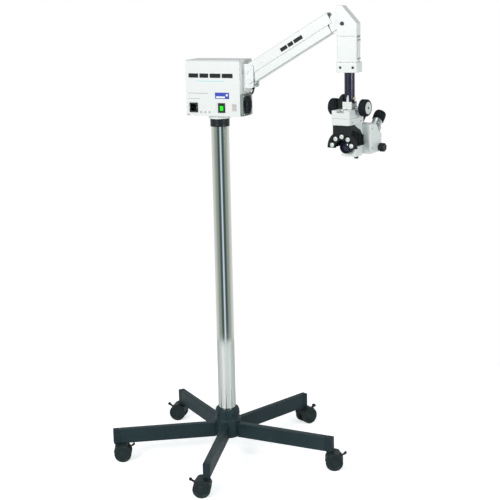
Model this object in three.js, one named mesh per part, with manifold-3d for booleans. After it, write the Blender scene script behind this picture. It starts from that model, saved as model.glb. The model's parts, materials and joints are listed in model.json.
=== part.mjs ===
// A zoom colposcope on a floor stand: five-leg caster base, chrome column, power box,
// counterbalanced parallelogram arm and a binocular head with a ring of five LEDs.
// Millimetres, +Z up. The origin is on the floor, under the middle of the whole stand.
import * as THREE from "three";
import { mergeVertices } from "three/addons/utils/BufferGeometryUtils.js";
import Module from "manifold-3d";

const wasm = await Module();
wasm.setup();

// ---------- Driving dimensions ----------
// Clearances
const GAP = 0.35; // between pieces that touch
const RUNNING = 0.45; // round a shaft, a pin or a post that turns
const CUT = 1; // how far a cutter runs past the face it opens

// Base
const LEG_COUNT = 5;
const LEG_REACH = 339; // column axis to leg tip
const LEG_HEADING = 212.5; // direction of the first leg, degrees
const LEG_WIDTH = 20;
const LEG_HEIGHT = 43;
const LEG_WALL = 2;
const LEG_PLUG = 26; // solid end block that takes the caster stem
const HUB_RADIUS = 35.5;
const HUB_FLARE = 3; // extra radius at leg height
const HUB_RISE = 44; // hub above the legs
const HUB_FLOOR = 6; // thickness under the column

// Casters
const WHEEL_RADIUS = 25;
const WHEEL_WIDTH = 17;
const HOOD_WEB = 12; // the hood's middle web, between the two wheels
const HOOD_SHELL = 2;
const AXLE_RADIUS = 3;
const CASTER_TRAIL = 15; // stem axis to wheel axle
const STEM_RADIUS = 5;
const STEM_LENGTH = 22;
const STEM_INSET = 12; // leg tip to stem axis
const CASTER_HEADINGS = [25, 200, 20, 60, 190]; // where each caster trails, degrees
const CASTER_HEADROOM = 1.2; // hood top to leg underside
const BRAKE_ANGLE = 36; // where the brake pedal leaves the hood, degrees above the axle
const BRAKE_REACH = 19;

// Column
const COLUMN_RADIUS = 25.4;
const COLUMN_WALL = 2.5;
const COLUMN_TOP = 995; // above the floor
const COLLAR_WALL = 1.6;
const COLLAR_HEIGHT = 22;
const SPIGOT_LENGTH = 70;
const FLANGE_RADIUS = 31;
const FLANGE_HEIGHT = 9.5;

// Power box
const BOX_WIDTH = 165;
const BOX_DEPTH = 86;
const BOX_HEIGHT = 154.5;
const BOX_WALL = 2;
const INLET = { x: -59, z: 23.5, width: 25, height: 27, depth: 22 };
const ROCKER = { x: 26.5, z: 23.5, width: 21, height: 27, depth: 18, rim: 2.6 };
const ROCKER_TILT = 7; // degrees, pressed on
const FAN_SIZE = 60;
const FAN_DEPTH = 8;
const FAN_BORE = 25; // radius of the air opening
const FAN_HUB = 11;
const TRANSFORMER = { x: -20, width: 66, depth: 34, height: 44 };

// Arm
const ARM_LENGTH = 309; // pivot to pivot
const ARM_RISE = 30.5; // rest angle above horizontal, degrees
const LINK_SPREAD_X = -10; // upper pivot from lower pivot
const LINK_SPREAD_Z = 27;
const PIVOT_OFFSET = 21.8; // lower shoulder pivot from the box side
const PIVOT_HEIGHT = 94.7; // lower shoulder pivot above the box bottom
const LINK_THICKNESS = 10;
const LINK_EYE = 9;
const PIN_RADIUS = 4;
const UPPER_COVER_WIDTH = 34;
const UPPER_COVER_TOP = 19; // above the upper pivot line
const UPPER_COVER_SKIRT = 11.5; // below the upper pivot line
const LOWER_COVER_SKIRT = 6.8; // below the lower pivot line
const LOWER_COVER_TOP = 20; // above the lower pivot line
const COVER_WALL = 2;
const COVER_START = 12.2; // from the shoulder pivots
const UPPER_COVER_SETBACK = 28.5; // short of the elbow's upper pivot
const LOWER_COVER_SETBACK = 38; // short of the elbow's lower pivot
const CHEEK_THICKNESS = 4;
const BRACKET_PLATE = 5;
const BRACKET_LENGTH = 31.5; // from the box side
const BRACKET_TOP = 144; // above the box bottom
const BRACKET_BOTTOM = 77.5;
const SPRING_RADIUS = 3.4;

// Elbow and drop
const ELBOW_WIDTH = 56;
const ELBOW_HEIGHT = 79.5;
const ELBOW_LEFT = 15.5; // left edge from the lower pivot
const ELBOW_BELOW = 33; // lower edge below the lower pivot
const ELBOW_SLOPE = 46; // fall of the sloped face
const ELBOW_FLAT = 15; // flat top before the slope
const ELBOW_THICKNESS = 33;
const ELBOW_WALL = 2;
const DROP_HEIGHT = 68;
const CLAMP_HEIGHT = 27;
const CLAMP_WIDTH = 59;
const CLAMP_DEPTH = 44;
const POST_RADIUS = 14;
const POST_INSET = 30.5; // post axis from the elbow's left edge
const POST_EXPOSED = 70; // clamp to tilt pin

// Head
const HEAD_HEADING = -9.8; // degrees about the post
const TONGUE_THICKNESS = 7.2;
const TONGUE_RADIUS = 11;
const TILT_PIN_RADIUS = 3;
const AXLE_DROP = 23.5; // tilt pin to focus axle
const FOCUS_AXLE_RADIUS = 3;
const KNOB_RADIUS = 23.5;
const KNOB_LENGTH = 24;
const KNOB_SPREAD = 33; // middle to the knobs' inner faces
const PINION_TEETH = 12;
const TOOTH_PITCH = 3.2;
const TOOTH_HEIGHT = 2.2;
const NECK_WIDTH = 28;
const NECK_DEPTH = 30;
const RAIL_LENGTH = 60;
const COVER_WIDTH = 54;
const COVER_FRONT = 53; // in front of the post axis
const COVER_BACK = 30;
const COVER_HEIGHT = 39.5;
const COVER_SLAB = 10.5;
const HEAD_WALL = 2.5;
const OPTICAL_DROP = 105; // focus axle to optical axis
const ZOOM_WIDTH = 44;
const ZOOM_FRONT = 8;
const ZOOM_BACK = 32;
const ZOOM_BELOW = 24; // under the optical axis
const TOE_FRONT = 8;
const TOE_HEIGHT = 5;
const BARREL_RADIUS = 17.8;
const BARREL_LENGTH = 17;
const BARREL_WALL = 3.2;
const LED_PLANE = 45; // front of the LED plate, in front of the post axis
const LED_PLATE = 8;
const LED_ARC = 30; // radius of the LEDs' circle
const LED_RADIUS = 7;
const LED_COUNT = 5;
const LED_STEP = 38.5; // degrees between LEDs
const LED_WING = 44; // outer radius of the plate's round part
const LED_SIDE = 76; // length of the housing's sides
const FIN_COUNT = 7; // cooling fins on each side
const FIN_PITCH = 8;
const FIN_THICKNESS = 3;
const FIN_DEPTH = 4;
const BINOCULAR_WIDTH = 90;
const BINOCULAR_BACK = 102;
const BINOCULAR_HEIGHT = 82;
const BINOCULAR_WALL = 3;
const EYE_SPACING = 60;
const EYE_TUBE_RADIUS = 13.5;
const EYE_TUBE_LENGTH = 42;
const EYE_TUBE_SHOWN = 24; // flange to eyecup
const EYE_TRAVEL = 6; // each eyepiece's slide, either way
const EYE_FLANGE = 17.5;
const EYE_FLANGE_THICKNESS = 3;
const EYECUP_RADIUS = 16.8;
const EYECUP_LENGTH = 26;
const EYECUP_BORE = 11.5;
const EYE_LIFT = 45; // inclination of the eyepieces, degrees
const ZOOM_KNOB_RADIUS = 12;
const ZOOM_KNOB_LENGTH = 15;
const ZOOM_KNOB_OFFSET = 2; // body side to knob
const ZOOM_SHAFT_RADIUS = 3.5;
const LOCK_KNOB_RADIUS = 6;
const LOCK_KNOB_LENGTH = 7;
const LOCK_SHANK_RADIUS = 2.5;
const LOCK_PLACE = { x: 10, y: 18 }; // under the zoom body

// ---------- Finishes ----------
const finish = (color, roughness, metalness) => () =>
  new THREE.MeshStandardMaterial({ color, roughness, metalness });
const baseEnamel = finish(0x2c3b42, 0.45, 0.1);
const casterNylon = finish(0x1f2a2c, 0.6, 0);
const chrome = finish(0xd9dcde, 0.12, 1);
const blackPlastic = finish(0x101417, 0.5, 0);
const whiteEnamel = finish(0xf1f2f2, 0.4, 0);
const silverEnamel = finish(0xd5dad8, 0.4, 0.3);
const steel = finish(0x8d9294, 0.35, 1);
const greenLamp = finish(0x22c81c, 0.25, 0);
const copper = finish(0x9a5a32, 0.45, 0.6);
const clearLens = finish(0xe6f0f2, 0.05, 0);
const blackRubber = finish(0x14181a, 0.8, 0);

// ---------- Shapes and solids ----------
const rad = THREE.MathUtils.degToRad;

/** A closed three.js geometry as a solid that can be joined and cut. */
function solid(geometry) {
  const bare = geometry.index ? geometry.toNonIndexed() : geometry.clone();
  bare.deleteAttribute("normal");
  bare.deleteAttribute("uv");
  const merged = mergeVertices(bare, 1e-4);
  return new wasm.Manifold(
    new wasm.Mesh({
      numProp: 3,
      vertProperties: new Float32Array(merged.attributes.position.array),
      triVerts: new Uint32Array(merged.index.array),
    }),
  );
}

/** A solid back as a geometry for a mesh. */
function skin(body) {
  const mesh = body.getMesh();
  const geometry = new THREE.BufferGeometry();
  geometry.setAttribute("position", new THREE.BufferAttribute(new Float32Array(mesh.vertProperties), 3));
  geometry.setIndex(new THREE.BufferAttribute(new Uint32Array(mesh.triVerts), 1));
  geometry.computeVertexNormals();
  return geometry;
}

const join = (...bodies) => bodies.reduce((whole, body) => whole.add(body));
const cut = (whole, ...tools) => tools.reduce((left, tool) => left.subtract(tool), whole);

/** An outline through points, as [across, up] pairs. */
function outline(points) {
  return new THREE.Shape(points.map(([a, b]) => new THREE.Vector2(a, b)));
}

/** A rectangle between two corners, with its corners rounded by radius. */
function roundedRect(left, right, bottom, top, radius = 0) {
  if (radius === 0) {
    return outline([[left, bottom], [right, bottom], [right, top], [left, top]]);
  }
  const shape = new THREE.Shape();
  shape.moveTo(left + radius, bottom);
  shape.lineTo(right - radius, bottom);
  shape.absarc(right - radius, bottom + radius, radius, -Math.PI / 2, 0);
  shape.lineTo(right, top - radius);
  shape.absarc(right - radius, top - radius, radius, 0, Math.PI / 2);
  shape.lineTo(left + radius, top);
  shape.absarc(left + radius, top - radius, radius, Math.PI / 2, Math.PI);
  shape.lineTo(left, bottom + radius);
  shape.absarc(left + radius, bottom + radius, radius, Math.PI, Math.PI * 1.5);
  return shape;
}

/** Extrusions of an outline: upwards, or with the outline standing in the XZ or YZ plane. */
function extrusion(shape, length, curveSegments) {
  return new THREE.ExtrudeGeometry(shape, { depth: length, bevelEnabled: false, curveSegments });
}
function extrudeZ(shape, z0, z1, curveSegments = 3) {
  return solid(extrusion(shape, z1 - z0, curveSegments).translate(0, 0, z0));
}
function extrudeY(shape, y0, y1, curveSegments = 3) {
  return solid(extrusion(shape, y1 - y0, curveSegments).rotateX(Math.PI / 2).translate(0, y1, 0));
}
function extrudeX(shape, x0, x1, curveSegments = 3) {
  const standing = extrusion(shape, x1 - x0, curveSegments).rotateX(Math.PI / 2).rotateZ(Math.PI / 2);
  return solid(standing.translate(x0, 0, 0));
}

/** A block between two corners. */
function block(x0, x1, y0, y1, z0, z1) {
  const geometry = new THREE.BoxGeometry(x1 - x0, y1 - y0, z1 - z0);
  return solid(geometry.translate((x0 + x1) / 2, (y0 + y1) / 2, (z0 + z1) / 2));
}

/** Round rods along each axis, from one end to the other, at a place across the axis. */
function rodZ(radius, z0, z1, x = 0, y = 0, sides = 24) {
  const geometry = new THREE.CylinderGeometry(radius, radius, z1 - z0, sides).rotateX(Math.PI / 2);
  return solid(geometry.translate(x, y, (z0 + z1) / 2));
}
function rodY(radius, y0, y1, x = 0, z = 0, sides = 24) {
  const geometry = new THREE.CylinderGeometry(radius, radius, y1 - y0, sides);
  return solid(geometry.translate(x, (y0 + y1) / 2, z));
}
function rodX(radius, x0, x1, y = 0, z = 0, sides = 24) {
  const geometry = new THREE.CylinderGeometry(radius, radius, x1 - x0, sides).rotateZ(Math.PI / 2);
  return solid(geometry.translate((x0 + x1) / 2, y, z));
}

/** A body of revolution about Z from a closed [radius, height] outline, counter-clockwise. */
function turnedZ(profile, sides = 32) {
  const closed = profile[0][0] === 0 ? profile : [...profile, profile[0]];
  const points = closed.map(([r, z]) => new THREE.Vector2(r, z));
  return solid(new THREE.LatheGeometry(points, sides).rotateX(Math.PI / 2));
}

/** The same body of revolution, laid along X or Y, its height running along that axis. */
const turnedX = (profile, sides) => turnedZ(profile, sides).rotate([0, 90, 0]);
const turnedY = (profile, sides) => turnedZ(profile, sides).rotate([-90, 0, 0]);

/** A named piece in a group. */
function piece(parent, name, body, material) {
  const mesh = new THREE.Mesh(skin(body), material());
  mesh.name = name;
  parent.add(mesh);
  return mesh;
}

/** A named group at a place in its parent: one moving body, with its origin on its joint. */
function bodyGroup(parent, name, x = 0, y = 0, z = 0) {
  const group = new THREE.Group();
  group.name = name;
  group.position.set(x, y, z);
  parent.add(group);
  return group;
}

const stand = new THREE.Group();

// ---------- Base: hub, legs and column ----------
const hoodRadius = WHEEL_RADIUS + GAP + HOOD_SHELL;
const legBottom = WHEEL_RADIUS + hoodRadius + CASTER_HEADROOM;
const legTop = legBottom + LEG_HEIGHT;
const hubTop = legTop + HUB_RISE;
const columnFoot = legBottom + HUB_FLOOR;
const bore = COLUMN_RADIUS + GAP;

function buildHub() {
  const flared = HUB_RADIUS + HUB_FLARE;
  const lip = 1.5;
  return turnedZ([
    [0, legBottom],
    [flared, legBottom],
    [flared, legTop],
    [HUB_RADIUS, legTop + HUB_FLARE * 4],
    [HUB_RADIUS, hubTop - lip],
    [HUB_RADIUS - lip, hubTop],
    [bore + lip, hubTop],
    [bore, hubTop - lip],
    [bore, columnFoot - GAP],
    [0, columnFoot - GAP],
  ], 32);
}
piece(stand, "base_hub", buildHub(), baseEnamel);

function buildLeg() {
  const start = HUB_RADIUS + HUB_FLARE + GAP;
  const halfWidth = LEG_WIDTH / 2;
  const section = roundedRect(-halfWidth, halfWidth, legBottom, legTop, 1.5);
  const tube = extrudeX(section, start, LEG_REACH, 2);
  const inside = block(
    start - 1, LEG_REACH - LEG_PLUG, LEG_WALL - halfWidth, halfWidth - LEG_WALL,
    legBottom + LEG_WALL, legTop - LEG_WALL,
  );
  const heel = block(start - halfWidth, start + 1, -halfWidth, halfWidth, legBottom, legTop);
  const round = rodZ(start, legBottom - CUT, legTop + CUT, 0, 0, 40);
  const socket = rodZ(
    STEM_RADIUS + RUNNING, legBottom - CUT, legBottom + STEM_LENGTH + CUT, LEG_REACH - STEM_INSET, 0, 12,
  );
  return cut(join(tube, heel), inside, round, socket);
}

const legGroups = [];
for (let k = 0; k < LEG_COUNT; k++) {
  const leg = new THREE.Group();
  leg.rotation.z = rad(LEG_HEADING + (k * 360) / LEG_COUNT);
  stand.add(leg);
  piece(leg, `base_leg_${k + 1}`, buildLeg(), baseEnamel);
  legGroups.push(leg);
}

piece(stand, "column", turnedZ([
  [COLUMN_RADIUS - COLUMN_WALL, columnFoot],
  [COLUMN_RADIUS, columnFoot],
  [COLUMN_RADIUS, COLUMN_TOP],
  [COLUMN_RADIUS - COLUMN_WALL, COLUMN_TOP],
], 32), chrome);

piece(stand, "column_collar", turnedZ([
  [bore, COLUMN_TOP - COLLAR_HEIGHT],
  [bore + COLLAR_WALL, COLUMN_TOP - COLLAR_HEIGHT],
  [bore + COLLAR_WALL, COLUMN_TOP],
  [bore, COLUMN_TOP],
], 32), blackPlastic);

// ---------- Casters ----------
const halfWeb = HOOD_WEB / 2;
const wheelInner = halfWeb + GAP;
const wheelOuter = wheelInner + WHEEL_WIDTH;

/** The swivelling hood: a roof over the wheels, the web between them and the stem. */
function buildCasterHood() {
  const roofFrom = rad(56); // the roof's two ends, round the axle
  const roofTo = rad(168);
  const roofSteps = 7;
  const discInset = 6; // of the web from the wheels' rim
  const shankHalf = STEM_RADIUS + 3;
  const shankLift = 6; // above the axle
  const bridgeEnd = 4; // past the axle
  const bridgeLift = 14;
  const shellOuter = hoodRadius;
  const shellInner = WHEEL_RADIUS + GAP;
  const canopy = new THREE.Shape();
  canopy.absarc(CASTER_TRAIL, WHEEL_RADIUS, shellOuter, roofFrom, roofTo);
  canopy.absarc(CASTER_TRAIL, WHEEL_RADIUS, shellInner, roofTo, roofFrom, true);
  const roof = extrudeY(canopy, -wheelOuter, wheelOuter, roofSteps);
  const web = new THREE.Shape();
  web.absarc(CASTER_TRAIL, WHEEL_RADIUS, WHEEL_RADIUS - discInset, 0, Math.PI * 2);
  const disc = extrudeY(web, -halfWeb, halfWeb, roofSteps);
  const top = WHEEL_RADIUS + hoodRadius;
  const shank = block(-shankHalf, shankHalf, -halfWeb, halfWeb, WHEEL_RADIUS + shankLift, top);
  const bridge = block(
    0, CASTER_TRAIL + bridgeEnd, -halfWeb, halfWeb,
    WHEEL_RADIUS + bridgeLift, 2 * WHEEL_RADIUS + GAP + 1,
  );
  const stem = rodZ(STEM_RADIUS, top - 1, legBottom + STEM_LENGTH, 0, 0, 12);
  const axleBore = rodY(AXLE_RADIUS + RUNNING, -wheelOuter, wheelOuter, CASTER_TRAIL, WHEEL_RADIUS, 12);
  return cut(join(roof, disc, shank, bridge, stem), axleBore);
}

/** Two wheels on one axle. */
function buildWheelPair() {
  const shoulder = 2;
  const half = [
    [AXLE_RADIUS, wheelInner],
    [WHEEL_RADIUS - shoulder, wheelInner],
    [WHEEL_RADIUS, wheelInner + shoulder],
    [WHEEL_RADIUS, wheelOuter - shoulder],
    [WHEEL_RADIUS - shoulder, wheelOuter],
    [0, wheelOuter],
  ];
  const mirrored = half.toReversed().map(([r, y]) => [r, -y]);
  return turnedY([...mirrored, ...half], 22);
}

/** The brake pedal, in a frame with its hinge at the origin and the pedal along +X. */
function buildBrake() {
  const stalkHalf = { width: 4, height: 1.8 };
  const padLength = 8;
  const padHalf = { width: 7, height: 2.2 };
  const padCorner = 2.5;
  const barrel = { radius: 3, half: 5 };
  const stalk = block(
    0, BRAKE_REACH - padLength + 2, -stalkHalf.width, stalkHalf.width, -stalkHalf.height, stalkHalf.height,
  );
  const pad = extrudeZ(
    roundedRect(BRAKE_REACH - padLength, BRAKE_REACH, -padHalf.width, padHalf.width, padCorner),
    -padHalf.height, padHalf.height, 1,
  );
  const hinge = rodY(barrel.radius, -barrel.half, barrel.half, 0, 0, 10);
  return join(stalk, pad, hinge).rotate([0, -BRAKE_ANGLE, 0]);
}

const BRAKE_HINGE_INSET = 1.5; // of the pedal's hinge from the wheels' rim
for (let k = 0; k < LEG_COUNT; k++) {
  const swivel = bodyGroup(legGroups[k], `caster_${k + 1}`, LEG_REACH - STEM_INSET, 0, 0);
  swivel.rotation.z = rad(CASTER_HEADINGS[k]) - legGroups[k].rotation.z;
  piece(swivel, `caster_hood_${k + 1}`, buildCasterHood(), casterNylon);
  const wheels = bodyGroup(swivel, `wheels_${k + 1}`, CASTER_TRAIL, 0, WHEEL_RADIUS);
  piece(wheels, `caster_wheels_${k + 1}`, buildWheelPair(), casterNylon);
  const hingeRadius = WHEEL_RADIUS - BRAKE_HINGE_INSET;
  const brake = bodyGroup(
    swivel, `brake_${k + 1}`, CASTER_TRAIL + hingeRadius * Math.cos(rad(BRAKE_ANGLE)), 0,
    WHEEL_RADIUS + hingeRadius * Math.sin(rad(BRAKE_ANGLE)),
  );
  piece(brake, `caster_brake_${k + 1}`, buildBrake(), casterNylon);
}

// ---------- Power box, turning on the column ----------
const boxBottom = COLUMN_TOP + GAP + FLANGE_HEIGHT;
const boxGroup = bodyGroup(stand, "power_box", 0, 0, boxBottom);
const halfBoxWidth = BOX_WIDTH / 2;
const halfBoxDepth = BOX_DEPTH / 2;
const INSERT_RIM = 2; // how far the inlet and the switch lap the panel, and how thick that rim is

/** A block of an insert's outline, drawn in by inset, between two depths. */
function insertBlock({ x, z, width, height }, inset, y0, y1) {
  const halfX = width / 2 - inset;
  const halfZ = height / 2 - inset;
  return block(x - halfX, x + halfX, y0, y1, z - halfZ, z + halfZ);
}

/** Bottom, front and back panels in one bend, with the spigot that turns in the column. */
function buildChassis() {
  const floor = block(-halfBoxWidth, halfBoxWidth, -halfBoxDepth, halfBoxDepth, 0, BOX_WALL);
  const panelTop = BOX_HEIGHT - BOX_WALL - GAP;
  const front = block(-halfBoxWidth, halfBoxWidth, -halfBoxDepth, BOX_WALL - halfBoxDepth, 0, panelTop);
  const back = block(-halfBoxWidth, halfBoxWidth, halfBoxDepth - BOX_WALL, halfBoxDepth, 0, panelTop);
  const spigot = turnedZ([
    [0, -FLANGE_HEIGHT - GAP - SPIGOT_LENGTH],
    [COLUMN_RADIUS - COLUMN_WALL - RUNNING, -FLANGE_HEIGHT - GAP - SPIGOT_LENGTH],
    [COLUMN_RADIUS - COLUMN_WALL - RUNNING, -FLANGE_HEIGHT],
    [FLANGE_RADIUS, -FLANGE_HEIGHT],
    [FLANGE_RADIUS, 1],
    [0, 1],
  ], 28);
  const openings = [INLET, ROCKER].map((insert) =>
    insertBlock(insert, INSERT_RIM - GAP, -halfBoxDepth - CUT, BOX_WALL - halfBoxDepth + CUT));
  return cut(join(floor, front, back, spigot), ...openings);
}
piece(boxGroup, "box_chassis", buildChassis(), whiteEnamel);

const fanCentre = { y: FAN_SIZE / 2 - halfBoxDepth + 1, z: FAN_SIZE / 2 + 1 };

const AIR_LEDGE = 4; // how much smaller the cover's air opening is than the fan's bore

/** Top and both sides, dropped over the chassis. */
function buildBoxCover() {
  const sideDepth = halfBoxDepth - BOX_WALL - GAP;
  const top = block(
    -halfBoxWidth, halfBoxWidth, -halfBoxDepth, halfBoxDepth, BOX_HEIGHT - BOX_WALL, BOX_HEIGHT,
  );
  const sideBottom = BOX_WALL + GAP;
  const left = block(-halfBoxWidth, BOX_WALL - halfBoxWidth, -sideDepth, sideDepth, sideBottom, BOX_HEIGHT);
  const right = block(halfBoxWidth - BOX_WALL, halfBoxWidth, -sideDepth, sideDepth, sideBottom, BOX_HEIGHT);
  const air = rodX(
    FAN_BORE - AIR_LEDGE, halfBoxWidth - BOX_WALL - CUT, halfBoxWidth + CUT, fanCentre.y, fanCentre.z, 20,
  );
  return cut(join(top, left, right), air);
}
piece(boxGroup, "box_cover", buildBoxCover(), whiteEnamel);

/** A socket with a rim on the front panel, its pocket open to the front. */
function buildInlet() {
  const { depth } = INLET;
  const face = -halfBoxDepth - GAP;
  const wall = 2;
  const base = 4; // thickness of the socket's closed end
  const contact = { pitch: 5, halfWidth: 0.8, halfHeight: 2, short: 4, root: 3 };
  const rim = insertBlock(INLET, 0, face - INSERT_RIM, face);
  const can = insertBlock(INLET, INSERT_RIM, face - 1, face + depth);
  const pocket = insertBlock(INLET, INSERT_RIM + wall, face - INSERT_RIM - CUT, face + depth - base);
  const pins = [-1, 0, 1].map((hand) => {
    const x = INLET.x + hand * contact.pitch;
    return block(
      x - contact.halfWidth, x + contact.halfWidth, face + contact.short, face + depth - contact.root,
      INLET.z - contact.halfHeight, INLET.z + contact.halfHeight,
    );
  });
  return join(cut(join(rim, can), pocket), ...pins);
}
piece(boxGroup, "power_inlet", buildInlet(), blackPlastic);

/** The switch's frame, open through for its rocker. */
function buildSwitchFrame() {
  const { depth, rim } = ROCKER;
  const face = -halfBoxDepth - GAP;
  const flange = insertBlock(ROCKER, 0, face - INSERT_RIM, face);
  const can = insertBlock(ROCKER, INSERT_RIM, face - 1, face + depth);
  const pocket = insertBlock(ROCKER, INSERT_RIM + rim, face - INSERT_RIM - CUT, face + depth + CUT);
  return cut(join(flange, can), pocket);
}
piece(boxGroup, "switch_frame", buildSwitchFrame(), blackPlastic);

const ROCKER_PIVOT = 4; // behind the panel's face
const rockerGroup = bodyGroup(boxGroup, "rocker", ROCKER.x, ROCKER_PIVOT - halfBoxDepth, ROCKER.z);
rockerGroup.rotation.x = rad(ROCKER_TILT);

/** The rocker, hollowed a little across its face, in a frame with its pivot at the origin. */
function buildRocker() {
  const halfWidth = ROCKER.width / 2 - INSERT_RIM - ROCKER.rim - 2 * RUNNING;
  const halfHeight = ROCKER.height / 2 - INSERT_RIM - ROCKER.rim - 4 * RUNNING;
  const face = -6.5;
  const dish = 1.2; // depth of the hollow
  const shoulder = { y: -1, inset: 1.5 };
  const tail = { y: 5, half: 2 };
  const profile = outline([
    [face, halfHeight],
    [face + dish, 0],
    [face, -halfHeight],
    [shoulder.y, shoulder.inset - halfHeight],
    [tail.y, -tail.half],
    [tail.y, tail.half],
    [shoulder.y, halfHeight - shoulder.inset],
  ]);
  return extrudeX(profile, -halfWidth, halfWidth);
}
piece(rockerGroup, "power_rocker", buildRocker(), greenLamp);

const MOTOR_DEPTH = 2; // of the disc behind the fan's hub
const FAN_BLADES = 7;

/** The fan's square frame with its motor on three spokes. */
function buildFanFrame() {
  const half = FAN_SIZE / 2;
  const face = halfBoxWidth + GAP;
  const corner = 4;
  const spoke = { near: 0.2, far: 1.6, half: 1.2, start: 15, count: 3 };
  const frame = extrudeX(
    roundedRect(fanCentre.y - half, fanCentre.y + half, fanCentre.z - half, fanCentre.z + half, corner),
    face, face + FAN_DEPTH, 2,
  );
  const air = rodX(FAN_BORE, face - CUT, face + FAN_DEPTH + CUT, fanCentre.y, fanCentre.z, 24);
  const spokes = Array.from({ length: spoke.count }, (_, k) =>
    block(face + spoke.near, face + spoke.far, -FAN_BORE - 1, FAN_BORE + 1, -spoke.half, spoke.half)
      .rotate([(k * 180) / spoke.count + spoke.start, 0, 0])
      .translate([0, fanCentre.y, fanCentre.z]));
  const motor = rodX(FAN_HUB, face + spoke.near, face + MOTOR_DEPTH, fanCentre.y, fanCentre.z, 20);
  return join(cut(frame, air), ...spokes, motor);
}
piece(boxGroup, "fan_frame", buildFanFrame(), blackPlastic);

const ROTOR_GAP = 0.4; // from the motor's disc
const rotorX = halfBoxWidth + GAP + MOTOR_DEPTH + ROTOR_GAP;
const rotorGroup = bodyGroup(boxGroup, "fan_rotor", rotorX, fanCentre.y, fanCentre.z);

/** The hub with its flat blades, in a frame with the hub's back at the origin. */
function buildRotor() {
  const setIn = 0.8; // of the hub's cap from the frame's mouth
  const vane = { near: 1.4, far: 3, half: 5.4, root: 1.5, tipGap: 1.2 };
  const hub = rodX(FAN_HUB, 0, FAN_DEPTH - MOTOR_DEPTH - ROTOR_GAP - setIn, 0, 0, 20);
  const blades = [];
  for (let k = 0; k < FAN_BLADES; k++) {
    const blade = block(
      vane.near, vane.far, FAN_HUB - vane.root, FAN_BORE - vane.tipGap, -vane.half, vane.half,
    );
    blades.push(blade.rotate([(k * 360) / FAN_BLADES, 0, 0]));
  }
  return join(hub, ...blades);
}
piece(rotorGroup, "fan_blades", buildRotor(), blackPlastic);

/** Laminated core with its winding, bolted to the floor of the box. */
function buildTransformer() {
  const { x, width, depth, height } = TRANSFORMER;
  const floor = BOX_WALL + GAP;
  const proud = 6; // of the winding from the core's two faces
  const yoke = 7; // of the core under and over the winding
  const y0 = halfBoxDepth - BOX_WALL - GAP - proud - depth;
  const core = block(x - width / 2, x + width / 2, y0 + proud, y0 + depth - proud, floor, floor + height);
  const coil = block(
    x - width / 4, x + width / 4, y0, y0 + depth, floor + yoke, floor + height - yoke,
  );
  return join(core, coil);
}
piece(boxGroup, "transformer", buildTransformer(), copper);

// ---------- Shoulder bracket ----------
const lowerShoulder = new THREE.Vector2(halfBoxWidth + PIVOT_OFFSET, PIVOT_HEIGHT);
const linkSpread = new THREE.Vector2(LINK_SPREAD_X, LINK_SPREAD_Z);
const upperShoulder = lowerShoulder.clone().add(linkSpread);
const cheekInner = UPPER_COVER_WIDTH / 2 + 1;
const cheekOuter = cheekInner + CHEEK_THICKNESS;

/** The bracket on the box's side: a plate, two cheeks for the pins and a web under them. */
function buildShoulderBracket() {
  const side = halfBoxWidth + GAP;
  const apron = 9; // of the plate below the cheeks
  const chamfer = 4;
  const webShort = 10; // of the web from the cheeks' end
  const webThickness = 4;
  const eyeClearance = 1.2; // round the upper link's eye
  const faceClearance = 1.5; // beside it
  const end = halfBoxWidth + BRACKET_LENGTH;
  const plate = block(
    side, side + BRACKET_PLATE, -cheekOuter, cheekOuter, BRACKET_BOTTOM - apron, BRACKET_TOP,
  );
  const round = 12;
  const cheekOutline = new THREE.Shape();
  cheekOutline.moveTo(side, BRACKET_BOTTOM);
  cheekOutline.lineTo(end - chamfer, BRACKET_BOTTOM);
  cheekOutline.lineTo(end, BRACKET_BOTTOM + chamfer);
  cheekOutline.lineTo(end, BRACKET_TOP - round);
  cheekOutline.absarc(end - round, BRACKET_TOP - round, round, 0, Math.PI / 2);
  cheekOutline.lineTo(side, BRACKET_TOP);
  const cheeks = [-1, 1].map((hand) => {
    const y = hand * (cheekInner + CHEEK_THICKNESS / 2);
    return extrudeY(cheekOutline, y - CHEEK_THICKNESS / 2, y + CHEEK_THICKNESS / 2, 5);
  });
  const web = block(
    side, end - webShort, -cheekOuter, cheekOuter, BRACKET_BOTTOM, BRACKET_BOTTOM + webThickness,
  );
  const holes = [lowerShoulder, upperShoulder].map(({ x, y: z }) =>
    rodY(PIN_RADIUS + GAP, -cheekOuter - CUT, cheekOuter + CUT, x, z, 16));
  const halfSwing = LINK_THICKNESS / 2 + faceClearance;
  const swing = rodY(LINK_EYE + eyeClearance, -halfSwing, halfSwing, upperShoulder.x, upperShoulder.y, 24);
  return cut(join(plate, ...cheeks, web), ...holes, swing);
}
piece(boxGroup, "shoulder_bracket", buildShoulderBracket(), whiteEnamel);

/** Two pivot pins tied by a keeper plate beside the links. */
function buildPinPair(halfLength, headAt, from, to) {
  const middle = LINK_THICKNESS / 2 + 0.8; // the keeper's near face, clear of the links
  const plate = 3;
  const halfHeight = 6;
  const headRadius = 5.6;
  const headHeight = 3;
  const reach = to.clone().sub(from);
  const keeper = block(0, reach.length(), middle, middle + plate, -halfHeight, halfHeight)
    .rotate([0, -THREE.MathUtils.radToDeg(reach.angle()), 0])
    .translate([from.x, 0, from.y]);
  const pins = [from, to].map(({ x, y: z }) => join(
    rodY(PIN_RADIUS, -halfLength, halfLength, x, z, 16),
    rodY(halfHeight, middle, middle + plate, x, z, 12),
  ));
  const head = rodY(headRadius, headAt - headHeight, headAt, from.x, from.y, 16);
  const shank = rodY(PIN_RADIUS, headAt - CUT, -halfLength + CUT, from.x, from.y, 16);
  return join(keeper, ...pins, head, shank);
}
piece(
  boxGroup, "shoulder_pins",
  buildPinPair(cheekOuter - 0.5, -cheekOuter - GAP, lowerShoulder, upperShoulder), steel,
);

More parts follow.
